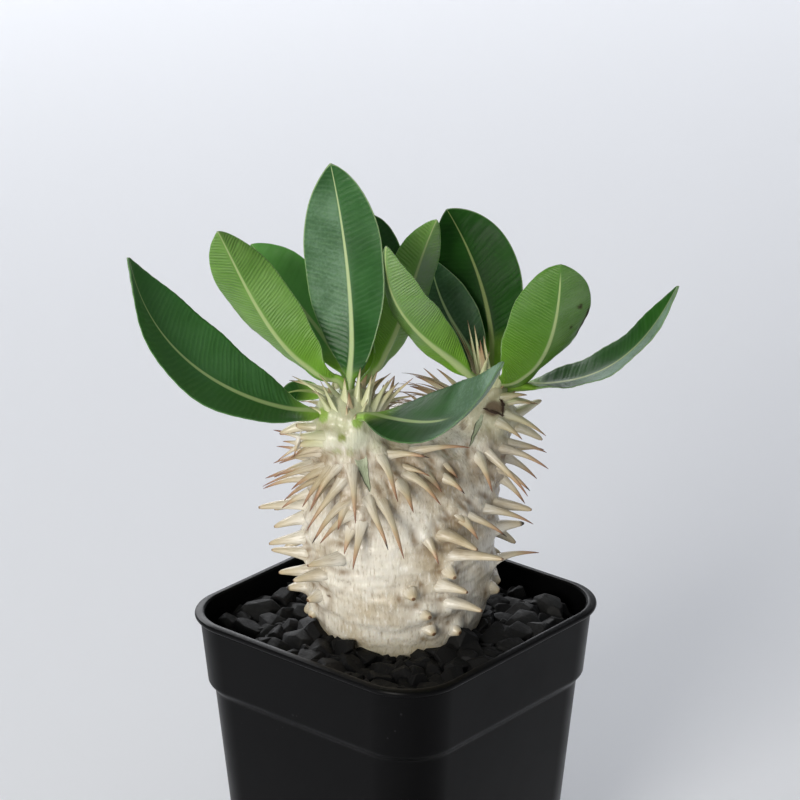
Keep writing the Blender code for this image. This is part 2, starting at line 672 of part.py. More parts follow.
def leaf_start(leaf):
    """How far along its midrib a leaf's stalk first stands clear of the caudex."""
    for step in range(40):
        t = step / 100
        if caudex_field(np.array(leaf_ring(leaf, t))).min() > LEAF_CLEARANCE:
            return t
    return 0.4


def make_leaf(name, leaf, material, collection):
    """One leaf: a short stalk that widens into a thin, folded blade."""
    start = leaf_start(leaf)
    rings = []
    for i in range(LEAF_RINGS):
        t = start + (1 - start) * (1 - math.cos(math.pi * i / (LEAF_RINGS - 1))) / 2
        rings.append([turned(Vector(point) * MM) for point in leaf_ring(leaf, t)])
    bm = bmesh.new()
    loft(bm, rings)
    return add_object(name, bm, material, collection)


def surface_tree(parts):
    """A search tree over the parts' faces."""
    bm = bmesh.new()
    for part in parts:
        bm.from_mesh(part.data)
    tree = BVHTree.FromBMesh(bm)
    bm.free()
    return tree


def main():
    """Build the potted plant."""
    for old in list(bpy.data.objects):
        bpy.data.objects.remove(old)
    collection = bpy.data.collections.new("potted_pachypodium")
    bpy.context.scene.collection.children.link(collection)
    plastic = make_material("black_plastic", (0.012, 0.012, 0.013), 0.42)
    mix = make_material("potting_mix", (0.03, 0.02, 0.014), 0.95)
    stone = make_material("black_gravel", (0.014, 0.015, 0.016), 0.8)
    bark = make_material("silver_bark", (0.42, 0.36, 0.27), 0.5)
    blade = make_material("leaf_green", (0.03, 0.11, 0.03), 0.4)

    pot = make_pot(plastic, collection)
    make_potting_mix(mix, collection)
    gravel = make_gravel(stone, collection)
    leaves = [make_leaf(name, leaf, blade, collection) for name, leaf in LEAVES.items()]
    make_caudex(bark, collection, [surface_tree(leaves), surface_tree([gravel, pot])])


main()
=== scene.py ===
"""The looks of a potted pachypodium.

A silver-skinned caudex with two heads stands in black gravel in a square nursery pot. The CAD frame gives every
size. This script dresses it: living skin with paired spines, thirteen veined leaves, chipped stones and moulded
plastic. The plant is laid out in its own frame, whose front is -Y, in millimetres, and is turned in the pot.
"""

from __future__ import annotations

import logging
import math
from dataclasses import dataclass, field
from enum import Enum
from functools import cached_property

import bmesh
import bpy
import numpy as np
from mathutils import Matrix, Vector, noise
from mathutils.bvhtree import BVHTree
from mathutils.kdtree import KDTree


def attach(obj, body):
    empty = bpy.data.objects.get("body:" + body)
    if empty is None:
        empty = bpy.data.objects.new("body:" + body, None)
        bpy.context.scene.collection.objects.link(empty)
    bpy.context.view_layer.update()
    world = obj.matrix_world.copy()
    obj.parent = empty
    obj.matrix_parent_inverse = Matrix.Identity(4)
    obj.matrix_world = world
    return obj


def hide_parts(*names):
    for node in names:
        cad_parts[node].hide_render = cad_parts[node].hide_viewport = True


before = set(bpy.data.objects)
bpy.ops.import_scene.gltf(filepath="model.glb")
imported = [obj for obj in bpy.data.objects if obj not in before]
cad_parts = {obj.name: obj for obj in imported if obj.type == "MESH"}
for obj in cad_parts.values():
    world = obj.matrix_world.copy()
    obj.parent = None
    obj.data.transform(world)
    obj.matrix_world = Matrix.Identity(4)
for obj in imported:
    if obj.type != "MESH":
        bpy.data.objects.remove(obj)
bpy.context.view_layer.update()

LOG = logging.getLogger("pachypodium")
MM = 0.001
PLANT_TURN = math.radians(40.3)
GOLDEN_ANGLE = math.radians(137.508)
Points = np.ndarray


# Colour and nodes


def linear(code: str) -> tuple[float, float, float, float]:
    """Turn an sRGB hex value into the linear colour that shaders take.

    Args:
        code: six hex digits with a leading number sign.

    Returns:
        Linear red, green, blue and a full alpha.
    """
    channels = (int(code[i : i + 2], 16) / 255 for i in (1, 3, 5))
    return (*(c / 12.92 if c <= 0.04045 else ((c + 0.055) / 1.055) ** 2.4 for c in channels), 1.0)


def add_node(tree: bpy.types.NodeTree, kind: str, inputs: dict | None = None, **settings: object) -> bpy.types.Node:
    """Add a shader node, with its settings and what feeds its inputs.

    Args:
        tree: the material's node tree.
        kind: the node's Blender type name.
        inputs: socket names or numbers, each with an output socket to link or a value to set.
        settings: properties of the node.

    Returns:
        The new node.
    """
    node = tree.nodes.new(kind)
    for name, value in settings.items():
        setattr(node, name, value)
    for key, value in (inputs or {}).items():
        socket = node.inputs[key]
        if isinstance(value, bpy.types.NodeSocket):
            tree.links.new(value, socket)
        else:
            socket.default_value = value
    return node


def blank_material(name: str) -> tuple[bpy.types.Material, bpy.types.NodeTree]:
    """Make a material with an empty node tree.

    Args:
        name: the real material's name.

    Returns:
        The material and its tree.
    """
    material = bpy.data.materials.new(name)
    material.use_nodes = True
    material.node_tree.nodes.clear()
    return material, material.node_tree


def ramp(node: bpy.types.Node, stops: list[tuple[float, str]]) -> bpy.types.NodeSocket:
    """Set the stops of a colour ramp.

    Args:
        node: a Color Ramp node.
        stops: places from 0 to 1 with sRGB hex colours.

    Returns:
        The ramp's colour output.
    """
    elements = node.color_ramp.elements
    while len(elements) < len(stops):
        elements.new(0.5)
    for element, (place, code) in zip(elements, stops):
        element.position = place
        element.color = linear(code)
    return node.outputs["Color"]


# Shared shapes


def plant_place(points: Points) -> Points:
    """Move points from the plant's frame, in millimetres, to the pot's frame, in metres.

    Args:
        points: one row for each point.

    Returns:
        The turned and scaled points.
    """
    cos_turn, sin_turn = math.cos(PLANT_TURN), math.sin(PLANT_TURN)
    turn = np.array([[cos_turn, -sin_turn, 0], [sin_turn, cos_turn, 0], [0, 0, 1]])
    return (np.asarray(points, float) @ turn.T) * MM


def smoothstep(low: float, high: float, value: Points | float) -> Points | float:
    """An even curve from 0 at low to 1 at high.

    Args:
        low: where the curve leaves 0.
        high: where the curve reaches 1.
        value: where it is read.

    Returns:
        The curve's value there.
    """
    x = np.clip((value - low) / (high - low), 0.0, 1.0)
    return x * x * (3.0 - 2.0 * x)


def deselect_all() -> None:
    """Leave nothing selected, so that an operator acts on the new piece alone."""
    for item in bpy.context.selected_objects:
        item.select_set(False)


def take_new(name: str) -> bpy.types.Object:
    """Name the piece that an operator has just added.

    Args:
        name: the piece's name.

    Returns:
        The piece.
    """
    piece = bpy.context.object
    piece.name = piece.data.name = name
    return piece


def settle(piece: bpy.types.Object, smooth_angle: float = 40.0) -> bpy.types.Object:
    """Put a piece's place in its mesh and shade it smooth below an angle.

    Args:
        piece: the finished piece.
        smooth_angle: the widest angle, in degrees, that still shades smooth.

    Returns:
        The same piece.
    """
    deselect_all()
    piece.select_set(True)
    bpy.context.view_layer.objects.active = piece
    bpy.ops.object.transform_apply(location=True, rotation=True, scale=True)
    bpy.ops.object.shade_smooth_by_angle(angle=math.radians(smooth_angle))
    piece.select_set(False)
    return piece


def apply_all(piece: bpy.types.Object) -> None:
    """Apply the piece's modifiers in their order.

    Args:
        piece: the piece, which may be hidden from no view.
    """
    deselect_all()
    piece.select_set(True)
    bpy.context.view_layer.objects.active = piece
    for modifier in list(piece.modifiers):
        bpy.ops.object.modifier_apply(modifier=modifier.name)
    piece.select_set(False)


def set_points(mesh: bpy.types.Mesh, points: Points) -> None:
    """Write all of a mesh's points at once.

    Args:
        mesh: the mesh.
        points: as many rows as the mesh has points, in metres.
    """
    mesh.vertices.foreach_set("co", np.asarray(points, float).ravel())
    mesh.update()


def get_points(mesh: bpy.types.Mesh) -> Points:
    """Read all of a mesh's points.

    Args:
        mesh: the mesh.

    Returns:
        One row for each point.
    """
    points = np.empty(len(mesh.vertices) * 3)
    mesh.vertices.foreach_get("co", points)
    return points.reshape(-1, 3)


def set_attribute(mesh: bpy.types.Mesh, name: str, values: Points) -> None:
    """Store one number for each point, for a material to read.

    Args:
        mesh: the mesh.
        name: the attribute's name.
        values: as many numbers as the mesh has points.
    """
    attribute = mesh.attributes.new(name, "FLOAT", "POINT")
    attribute.data.foreach_set("value", np.asarray(values, float))


def mesh_of(name: str, points: Points, faces: list[tuple[int, ...]] | Points) -> bpy.types.Object:
    """Make a piece of copies that share one drawing, from their points and faces.

    Args:
        name: the piece's name.
        points: one row for each point, in metres.
        faces: the points of each face.

    Returns:
        The new piece.
    """
    mesh = bpy.data.meshes.new(name)
    mesh.from_pydata(np.asarray(points).tolist(), [], [tuple(map(int, face)) for face in faces])
    piece = bpy.data.objects.new(name, mesh)
    bpy.context.scene.collection.objects.link(piece)
    return piece


def present(piece: bpy.types.Object, slot: str, *nodes: str) -> bpy.types.Object:
    """Hand a finished piece to the frame.

    Args:
        piece: the piece.
        slot: not used.
        nodes: the CAD nodes that it stands for.

    Returns:
        The same piece.
    """
    if nodes:
        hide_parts(*nodes)
    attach(piece, "root")
    LOG.info("%s: %d faces", piece.name, len(piece.data.polygons))
    return piece


# Finishes


@dataclass(frozen=True)
class MouldedPlastic:
    """Injection-moulded polypropylene, coloured through with carbon black: half gloss, faintly uneven, a little dusty."""

    colour: str = "#060607"
    dust: str = "#2c2c2e"
    roughness: float = 0.33
    ripple_mm: float = 2.2
    speck_mm: float = 0.9

    def material(self) -> bpy.types.Material:
        """Build the material.

        Returns:
            The finished material.
        """
        material, tree = blank_material("polypropylene_moulded_black")
        place = add_node(tree, "ShaderNodeTexCoord").outputs["Object"]
        # The mould's polish leaves a ripple about two millimetres long that wobbles every reflection.
        ripple = add_node(tree, "ShaderNodeTexNoise", {"Vector": place, "Scale": 1000 / self.ripple_mm / 6, "Detail": 2.0})
        # Handling leaves cloudy patches where the gloss is duller.
        haze = add_node(tree, "ShaderNodeTexNoise", {"Vector": place, "Scale": 34.0, "Detail": 5.0, "Roughness": 0.65})
        gloss = add_node(tree, "ShaderNodeMapRange", {
            "Value": haze.outputs["Fac"], "From Min": 0.35, "From Max": 0.7,
            "To Min": self.roughness - 0.05, "To Max": self.roughness + 0.12})
        # Grit and potting dust cling as small pale specks.
        grit = add_node(tree, "ShaderNodeTexVoronoi", {
            "Vector": place, "Scale": 1000 / self.speck_mm / 3.4, "Randomness": 1.0})
        where = add_node(tree, "ShaderNodeTexNoise", {"Vector": place, "Scale": 60.0, "Detail": 3.0})
        reach = add_node(tree, "ShaderNodeMapRange", {
            "Value": where.outputs["Fac"], "From Min": 0.52, "From Max": 0.72, "To Min": 0.0, "To Max": 0.14})
        speck = add_node(tree, "ShaderNodeMath", {
            0: grit.outputs["Distance"], 1: reach.outputs["Result"]}, operation="LESS_THAN")
        amount = add_node(tree, "ShaderNodeMath", {0: speck.outputs["Value"], 1: 0.5}, operation="MULTIPLY")
        colour = add_node(tree, "ShaderNodeMix", {
            0: amount.outputs["Value"], 6: linear(self.colour), 7: linear(self.dust)}, data_type="RGBA")
        bump = add_node(tree, "ShaderNodeBump", {
            "Height": ripple.outputs["Fac"], "Strength": 0.06, "Distance": 0.0004})
        shader = add_node(tree, "ShaderNodeBsdfPrincipled", {
            "Base Color": colour.outputs[2], "Roughness": gloss.outputs["Result"], "IOR": 1.49,
            "Specular IOR Level": 0.09, "Normal": bump.outputs["Normal"]})
        add_node(tree, "ShaderNodeOutputMaterial", {"Surface": shader.outputs["BSDF"]})
        return material


@dataclass(frozen=True)
class PottingMix:
    """Damp peat and bark crumbs: dark brown, soft, with no shine."""

    dark: str = "#1a120c"
    light: str = "#3a2b1e"
    crumb_mm: float = 2.5

    def material(self) -> bpy.types.Material:
        """Build the material.

        Returns:
            The finished material.
        """
        material, tree = blank_material("peat_and_bark_mix")
        place = add_node(tree, "ShaderNodeTexCoord").outputs["Object"]
        crumbs = add_node(tree, "ShaderNodeTexVoronoi", {"Vector": place, "Scale": 1000 / self.crumb_mm})
        tone_and_painted_light = ramp(add_node(tree, "ShaderNodeValToRGB", {"Fac": crumbs.outputs["Color"]}),
                    [(0.2, self.dark), (0.9, self.light)])
        bump = add_node(tree, "ShaderNodeBump", {
            "Height": crumbs.outputs["Distance"], "Strength": 0.8, "Distance": 0.001})
        shader = add_node(tree, "ShaderNodeBsdfPrincipled", {
            "Base Color": tone_and_painted_light, "Roughness": 0.95, "Normal": bump.outputs["Normal"]})
        add_node(tree, "ShaderNodeOutputMaterial", {"Surface": shader.outputs["BSDF"]})
        return material


@dataclass(frozen=True)
class ChippedStone:
    """Crushed black basalt: charcoal, dull, with finely pitted faces and paler dust on some stones. The stones in front
    of the trunk are painted darker, as shade.
    """

    dark: str = "#040405"
    light: str = "#0c0d0d"
    dust: str = "#1f2122"
    pit_mm: float = 0.45

    def material(self) -> bpy.types.Material:
        """Build the material.

        Returns:
            The finished material.
        """
        material, tree = blank_material("basalt_chippings")
        place = add_node(tree, "ShaderNodeTexCoord").outputs["Object"]
        # This attribute darkens stones at random, and paints shade on the stones in front of the trunk.
        tone_and_painted_light = add_node(tree, "ShaderNodeAttribute", attribute_name="tone_and_painted_light").outputs["Fac"]
        base = ramp(add_node(tree, "ShaderNodeValToRGB", {"Fac": tone_and_painted_light}), [(0.0, self.dark), (1.0, self.light)])
        clouds = add_node(tree, "ShaderNodeTexNoise", {"Vector": place, "Scale": 420.0, "Detail": 6.0, "Roughness": 0.7})
        dusty = add_node(tree, "ShaderNodeMapRange", {
            "Value": clouds.outputs["Fac"], "From Min": 0.56, "From Max": 0.74, "To Min": 0.0, "To Max": 0.4})
        colour = add_node(tree, "ShaderNodeMix", {
            0: dusty.outputs["Result"], 6: base, 7: linear(self.dust)}, data_type="RGBA")
        pits = add_node(tree, "ShaderNodeTexNoise", {
            "Vector": place, "Scale": 1000 / self.pit_mm / 2, "Detail": 4.0, "Roughness": 0.6})
        bump = add_node(tree, "ShaderNodeBump", {
            "Height": pits.outputs["Fac"], "Strength": 0.55, "Distance": 0.00025})
        gloss = add_node(tree, "ShaderNodeMapRange", {
            "Value": clouds.outputs["Fac"], "From Min": 0.3, "From Max": 0.7, "To Min": 0.58, "To Max": 0.85})
        shader = add_node(tree, "ShaderNodeBsdfPrincipled", {
            "Base Color": colour.outputs[2], "Roughness": gloss.outputs["Result"], "Specular IOR Level": 0.3,
            "Normal": bump.outputs["Normal"]})
        add_node(tree, "ShaderNodeOutputMaterial", {"Surface": shader.outputs["BSDF"]})
        return material


@dataclass(frozen=True)
class SilverSkin:
    """The caudex's living skin: silver over beige, satin, finely wrinkled up the trunk, and waxy green-white at the
    crowns. Attributes on the mesh say where it is young, scarred, bruised or stained by the soil, and where shade is
    painted round the spines' feet and under their shafts."""

    silver: str = "#e2ddcf"
    beige: str = "#c5b89e"
    # A darker brown: the skin's own colour in the broad clouds, and painted shade in the wrinkles' troughs.
    shade: str = "#8b7759"
    # The colour of the shade painted round the spines' feet and under their shafts.
    gap: str = "#7c6546"
    # Painted highlights on the crests of the fine wrinkles.
    painted_glint: str = "#f6f3ea"
    young: str = "#ccd3ab"
    wax: str = "#dde0c8"
    scar: str = "#8c9650"
    lime: str = "#85a83a"
    bruise: str = "#5c4028"
    soil: str = "#a8975c"
    wrinkle_mm: float = 0.34

    def film(self, tree: bpy.types.NodeTree, place: bpy.types.NodeSocket,
             grain: bpy.types.NodeSocket) -> tuple[bpy.types.NodeSocket, ...]:
        """Add the bare skin's nodes, with light and shade painted in its wrinkles; the spines share them at their feet.

        Args:
            tree: the material's node tree.
            place: the place in the object.
            grain: the place drawn out along the fibres.

        Returns:
            The colour, the fine wrinkles and the broad clouds.
        """
        # Broad soft clouds of silver and beige, where the outer film has worn.
        clouds = add_node(tree, "ShaderNodeTexNoise", {
            "Vector": place, "Scale": 62.0, "Detail": 5.0, "Roughness": 0.55}).outputs["Fac"]
        colour = ramp(add_node(tree, "ShaderNodeValToRGB", {"Fac": clouds}),
                      [(0.22, self.shade), (0.38, self.beige), (0.56, self.silver)])
        # Fine wrinkles, under half a millimetre apart, get painted highlights on crests and painted shade in troughs.
        wrinkles = add_node(tree, "ShaderNodeTexNoise", {
            "Vector": grain, "Scale": 1000 / self.wrinkle_mm / 2, "Detail": 3.0, "Roughness": 0.6}).outputs["Fac"]
        for low, high, most, code in ((0.55, 0.7, 0.75, self.painted_glint), (0.45, 0.3, 0.5, self.shade)):
            amount = add_node(tree, "ShaderNodeMapRange", {
                "Value": wrinkles, "From Min": low, "From Max": high, "To Min": 0.0, "To Max": most})
            colour = add_node(tree, "ShaderNodeMix", {
                0: amount.outputs["Result"], 6: colour, 7: linear(code)}, data_type="RGBA").outputs[2]
        return colour, wrinkles, clouds

    def material(self) -> bpy.types.Material:
        """Build the material.

        Returns:
            The finished material.
        """
        material, tree = blank_material("pachypodium_skin")
        place = add_node(tree, "ShaderNodeTexCoord").outputs["Object"]
        grain = add_node(tree, "ShaderNodeMapping", {"Vector": place, "Scale": (1.0, 1.0, 0.24)}).outputs["Vector"]
        colour, wrinkles, clouds = self.film(tree, place, grain)
        # The first attribute paints shade round and under the spines; the rest are the skin's own marks.
        for name, code in (("painted_shade", self.gap), ("stain", self.soil), ("young", self.young), ("wax", self.wax),
                           ("scar", self.scar), ("lime", self.lime), ("bruise", self.bruise)):
            amount = add_node(tree, "ShaderNodeAttribute", attribute_name=name).outputs["Fac"]
            colour = add_node(tree, "ShaderNodeMix", {0: amount, 6: colour, 7: linear(code)},
                              data_type="RGBA").outputs[2]
        lumps = add_node(tree, "ShaderNodeTexNoise", {"Vector": place, "Scale": 260.0, "Detail": 2.0})
        low = add_node(tree, "ShaderNodeBump", {
            "Height": lumps.outputs["Fac"], "Strength": 0.5, "Distance": 0.0007})
        bump = add_node(tree, "ShaderNodeBump", {
            "Height": wrinkles, "Strength": 0.75, "Distance": 0.0002, "Normal": low.outputs["Normal"]})
        gloss = add_node(tree, "ShaderNodeMapRange", {
            "Value": clouds, "From Min": 0.35, "From Max": 0.65, "To Min": 0.33, "To Max": 0.18})
        shader = add_node(tree, "ShaderNodeBsdfPrincipled", {
            "Base Color": colour, "Roughness": gloss.outputs["Result"], "IOR": 1.46,
            "Subsurface Weight": 0.06, "Subsurface Radius": (1.0, 0.6, 0.3), "Subsurface Scale": 0.0008,
            "Normal": bump.outputs["Normal"]})
        add_node(tree, "ShaderNodeOutputMaterial", {"Surface": shader.outputs["BSDF"]})
        return material


@dataclass(frozen=True)
class DrySpine:
    """Hardened stipules: the skin itself at the root, straw along the shaft, and a dry brown point."""

    skin: SilverSkin = SilverSkin()
    straw: str = "#c4b490"
    tan: str = "#b18a69"
    point: str = "#764531"
    char: str = "#2b2320"
    dry: str = "#7f6441"
    young: str = "#ced4a6"
    cut: str = "#6d4a30"

    def material(self) -> bpy.types.Material:
        """Build the material.

        Returns:
            The finished material.
        """
        material, tree = blank_material("pachypodium_spine")
        place = add_node(tree, "ShaderNodeTexCoord").outputs["Object"]
        grain = add_node(tree, "ShaderNodeCombineXYZ", {
            "X": add_node(tree, "ShaderNodeAttribute", attribute_name="grain_x").outputs["Fac"],
            "Y": add_node(tree, "ShaderNodeAttribute", attribute_name="grain_y").outputs["Fac"],
            "Z": add_node(tree, "ShaderNodeAttribute", attribute_name="grain_z").outputs["Fac"]}).outputs["Vector"]
        # The spines share the skin's film, with its painted highlights and shade.
        film, fibres, _ = self.skin.film(tree, place, grain)

        def read(name: str) -> bpy.types.NodeSocket:
            return add_node(tree, "ShaderNodeAttribute", attribute_name=name).outputs["Fac"]

        def math_of(operation: str, *values: object) -> bpy.types.NodeSocket:
            return add_node(tree, "ShaderNodeMath", dict(enumerate(values)), operation=operation).outputs["Value"]

        def span(value: bpy.types.NodeSocket, low: float, high: float, most: float) -> bpy.types.NodeSocket:
            return add_node(tree, "ShaderNodeMapRange", {
                "Value": value, "From Min": low, "From Max": high, "To Min": 0.0, "To Max": most}).outputs["Result"]

        def over(below: object, amount: object, above: object) -> bpy.types.NodeSocket:
            return add_node(tree, "ShaderNodeMix", {0: amount, 6: below, 7: above}, data_type="RGBA").outputs[2]

        along, blunt = read("along"), read("blunt")
        ripe = math_of("MULTIPLY_ADD", fibres, 0.2, math_of("SUBTRACT", along, 0.1))
        ripe = math_of("MULTIPLY", ripe, math_of("MULTIPLY_ADD", blunt, -0.4, 1.0))
        shaft = ramp(add_node(tree, "ShaderNodeValToRGB", {"Fac": ripe}),
                     [(0.5, self.straw), (0.78, self.tan), (0.96, self.point)])
        colour = over(film, span(ripe, 0.12, 0.6, 0.95), shaft)
        colour = over(colour, math_of("MULTIPLY", span(along, 0.965, 0.99, 0.9), blunt), linear(self.cut))
        colour = over(colour, math_of("MULTIPLY", span(along, 0.82, 0.93, 0.95), read("charred")), linear(self.char))
        colour = over(colour, math_of("MULTIPLY", read("dryness"), span(along, -0.4, 0.5, 0.8)), linear(self.dry))
        colour = over(colour, math_of("MULTIPLY", span(along, 1.04, 0.7, 0.85), read("youth")), linear(self.young))
        bump = add_node(tree, "ShaderNodeBump", {"Height": fibres, "Strength": 0.6, "Distance": 0.0002})
        shader = add_node(tree, "ShaderNodeBsdfPrincipled", {
            "Base Color": colour, "Roughness": 0.27, "IOR": 1.5, "Normal": bump.outputs["Normal"]})
        add_node(tree, "ShaderNodeOutputMaterial", {"Surface": shader.outputs["BSDF"]})
        return material


@dataclass(frozen=True)
class SplitBark:
    """Outer skin that has split and dried: dull, thin, fibrous, and darker along its edges, most along one."""

    name: str = "split_skin_grey_green"
    head: str = "#cbd2b6"
    face: str = "#9ea88b"
    streak: str = "#71785b"
    edge: str = "#3f3f2e"
    roughness: float = 0.6

    def material(self) -> bpy.types.Material:
        """Build the material.

        Returns:
            The finished material.
        """
        material, tree = blank_material(self.name)
        along, across, rim = (add_node(tree, "ShaderNodeAttribute", attribute_name=name).outputs["Fac"]
                              for name in ("along", "across", "rim"))
        # Fibres run down the scale.
        grain = add_node(tree, "ShaderNodeCombineXYZ", {"X": across, "Y": along})
        fibres = add_node(tree, "ShaderNodeTexNoise", {
            "Vector": grain.outputs["Vector"], "Scale": 5.0, "Detail": 3.0}).outputs["Fac"]
        colour = ramp(add_node(tree, "ShaderNodeValToRGB", {"Fac": along}), [(0.0, self.head), (0.35, self.face)])
        for amount, low, high, code in ((fibres, 0.5, 0.7, self.streak), (rim, 0.3, 0.8, self.edge)):
            share = add_node(tree, "ShaderNodeMapRange", {
                "Value": amount, "From Min": low, "From Max": high, "To Min": 0.0, "To Max": 0.9})
            colour = add_node(tree, "ShaderNodeMix", {0: share.outputs["Result"], 6: colour, 7: linear(code)},
                              data_type="RGBA").outputs[2]
        bump = add_node(tree, "ShaderNodeBump", {"Height": fibres, "Strength": 0.6, "Distance": 0.0002})
        shader = add_node(tree, "ShaderNodeBsdfPrincipled", {
            "Base Color": colour, "Roughness": self.roughness, "Normal": bump.outputs["Normal"]})
        add_node(tree, "ShaderNodeOutputMaterial", {"Surface": shader.outputs["BSDF"]})
        return material


@dataclass(frozen=True)
class LeafCuticle:
    """A succulent leaf's waxy skin over its green flesh: a pale midrib, close side veins with painted highlights on
    their ridges and painted shade between them, a thin pale margin, and a waxy coating with a painted sheen.
    """

    name: str
    flesh: str
    flesh_light: str
    rib: str = "#a9bf80"
    vein_and_highlight: str = "#5f8f4e"
    furrow_shade: str = "#1c3a12"
    stalk: str = "#8dba45"
    margin: str = "#9db588"
    bloom_and_sheen: str = "#8ea898"
    bloom_and_sheen_amount: float = 0.5
    rib_half_mm: float = 1.1
    vein_pitch_mm: float = 1.5
    vein_depth: float = 0.2
    vein_and_highlight_amount: float = 0.2
    furrow_shade_amount: float = 0.12
    margin_amount: float = 0.4
    foot_mm: tuple[float, float, float] = (4.0, 14.0, 0.9)
    roughness: float = 0.4
    specular: float = 0.32

    def material(self) -> bpy.types.Material:
        """Build the material.

        Returns:
            The finished material.
        """
        material, tree = blank_material(self.name)

        def read(name: str) -> bpy.types.NodeSocket:
            return add_node(tree, "ShaderNodeAttribute", attribute_name=name).outputs["Fac"]

        def math_of(operation: str, *values: object) -> bpy.types.NodeSocket:
            return add_node(tree, "ShaderNodeMath", dict(enumerate(values)), operation=operation).outputs["Value"]

        def span(value: bpy.types.NodeSocket, low: object, high: object, start: float, end: float) -> bpy.types.NodeSocket:
            return add_node(tree, "ShaderNodeMapRange", {
                "Value": value, "From Min": low, "From Max": high, "To Min": start, "To Max": end},
                interpolation_type="SMOOTHSTEP").outputs["Result"]

        def over(below: object, amount: object, above: object) -> bpy.types.NodeSocket:
            return add_node(tree, "ShaderNodeMix", {0: amount, 6: below, 7: above}, data_type="RGBA").outputs[2]

        def clouds(vector: bpy.types.NodeSocket, scale: float, detail: float) -> bpy.types.NodeSocket:
            return add_node(tree, "ShaderNodeTexNoise", {
                "Vector": vector, "Scale": scale, "Detail": detail, "Roughness": 0.55}).outputs["Fac"]

        place = add_node(tree, "ShaderNodeTexCoord").outputs["Object"]
        along, across, tone_and_painted_light = read("along_mm"), read("across_mm"), read("tone_and_painted_light")
        away = math_of("ABSOLUTE", across)
        share = math_of("DIVIDE", along, read("length_mm"))
        patches, fine = clouds(place, 85.0, 4.0), clouds(place, 1400.0, 2.0)
        # Side veins leave the midrib at a wide angle, lean forwards, and wander a little.
        lean = math_of("MULTIPLY_ADD", away, -0.4, along)
        phase = math_of("MULTIPLY_ADD", math_of("SUBTRACT", patches, 0.5), 2.0, lean)
        pitch = math_of("DIVIDE", phase, self.vein_pitch_mm)
        drawn = add_node(tree, "ShaderNodeCombineXYZ", {
            "X": pitch, "Y": math_of("DIVIDE", across, 5.0), "Z": read("seed")}).outputs["Vector"]
        streak = clouds(drawn, 1.0, 2.0)
        wave = math_of("SINE", math_of("MULTIPLY_ADD", streak, 5.0, math_of("MULTIPLY", pitch, math.tau)))
        fading = span(clouds(place, 150.0, 2.0), 0.32, 0.62, 0.25, 1.0)
        rib_half = math_of("MULTIPLY_ADD", math_of("POWER", math_of("SUBTRACT", 1.0, share), 1.25),
                           self.rib_half_mm, 0.12)
        off_rib = math_of("MULTIPLY", span(away, rib_half, math_of("ADD", rib_half, 1.0), 0.0, 1.0), fading)
        off_rib = math_of("MULTIPLY", off_rib, read("veins"))

        # The flesh lightens in patches and with each leaf's brightness, which partly paints in the light or shade on
        # it.
        flesh = over(linear(self.flesh), span(math_of("ADD", patches, tone_and_painted_light), 0.35, 1.25, 0.0, 1.0),
                     linear(self.flesh_light))
        # Ridges get the veins' paler colour and a painted highlight; the hollows between get painted shade.
        vein_and_highlight = math_of("MULTIPLY", span(wave, 0.1, 1.0, 0.0, self.vein_and_highlight_amount), off_rib)
        flesh = over(flesh, vein_and_highlight, linear(self.vein_and_highlight))
        furrow_shade = math_of("MULTIPLY", span(wave, -0.1, -1.0, 0.0, self.furrow_shade_amount), off_rib)
        flesh = over(flesh, furrow_shade, linear(self.furrow_shade))
        # A waxy coating and a painted sheen lie on the blade in soft patches, greyer than the flesh.
        speckle = span(math_of("MULTIPLY_ADD", fine, 0.5, patches), 0.55, 0.95, 0.35, 1.0)
        bloom_and_sheen = math_of("MULTIPLY", math_of("MULTIPLY", speckle, self.bloom_and_sheen_amount), read("bloom_and_sheen"))
        flesh = over(flesh, bloom_and_sheen, linear(self.bloom_and_sheen))
        # Near the stalk the flesh turns lime green.
        foot_start, foot_end, foot_amount = self.foot_mm
        flesh = over(flesh, span(along, foot_start, foot_end, foot_amount, 0.0), linear(self.stalk))
        # The midrib tapers from the stalk to nothing at the tip.
        on_rib = span(math_of("DIVIDE", away, rib_half), 0.45, 1.15, 0.95, 0.0)
        colour = over(flesh, math_of("MULTIPLY", on_rib, read("rib")), linear(self.rib))
        # The thin margin lets light through.
        colour = over(colour, span(read("margin_mm"), 0.06, 0.3, self.margin_amount, 0.0), linear(self.margin))
        # Old damage has dried to brown cork.
        colour = over(colour, read("cork"), linear("#33241a"))
        relief = math_of("MULTIPLY", wave, off_rib)
        bump = add_node(tree, "ShaderNodeBump", {
            "Height": math_of("MULTIPLY_ADD", fine, 0.5, relief), "Strength": self.vein_depth, "Distance": 0.0002})
        gloss = math_of("ADD", span(patches, 0.4, 0.7, self.roughness, self.roughness + 0.12),
                        math_of("MULTIPLY", read("cork"), 0.3))
        shader = add_node(tree, "ShaderNodeBsdfPrincipled", {
            "Base Color": colour, "Roughness": gloss, "IOR": 1.45, "Specular IOR Level": self.specular,
            "Subsurface Weight": 0.2, "Subsurface Radius": (0.6, 1.0, 0.18), "Subsurface Scale": 0.0012,
            "Normal": bump.outputs["Normal"]})
        add_node(tree, "ShaderNodeOutputMaterial", {"Surface": shader.outputs["BSDF"]})
        return material


@dataclass(frozen=True)
class StudioPaper:
    """Seamless background paper: pale blue-grey and dull."""

    colour: str = "#eceef2"

    def material(self) -> bpy.types.Material:
        """Build the material.

        Returns:
            The finished material.
        """
        material, tree = blank_material("studio_paper")
        shader = add_node(tree, "ShaderNodeBsdfPrincipled", {
            "Base Color": linear(self.colour), "Roughness": 0.95, "Specular IOR Level": 0.1})
        add_node(tree, "ShaderNodeOutputMaterial", {"Surface": shader.outputs["BSDF"]})
        return material


# The pot


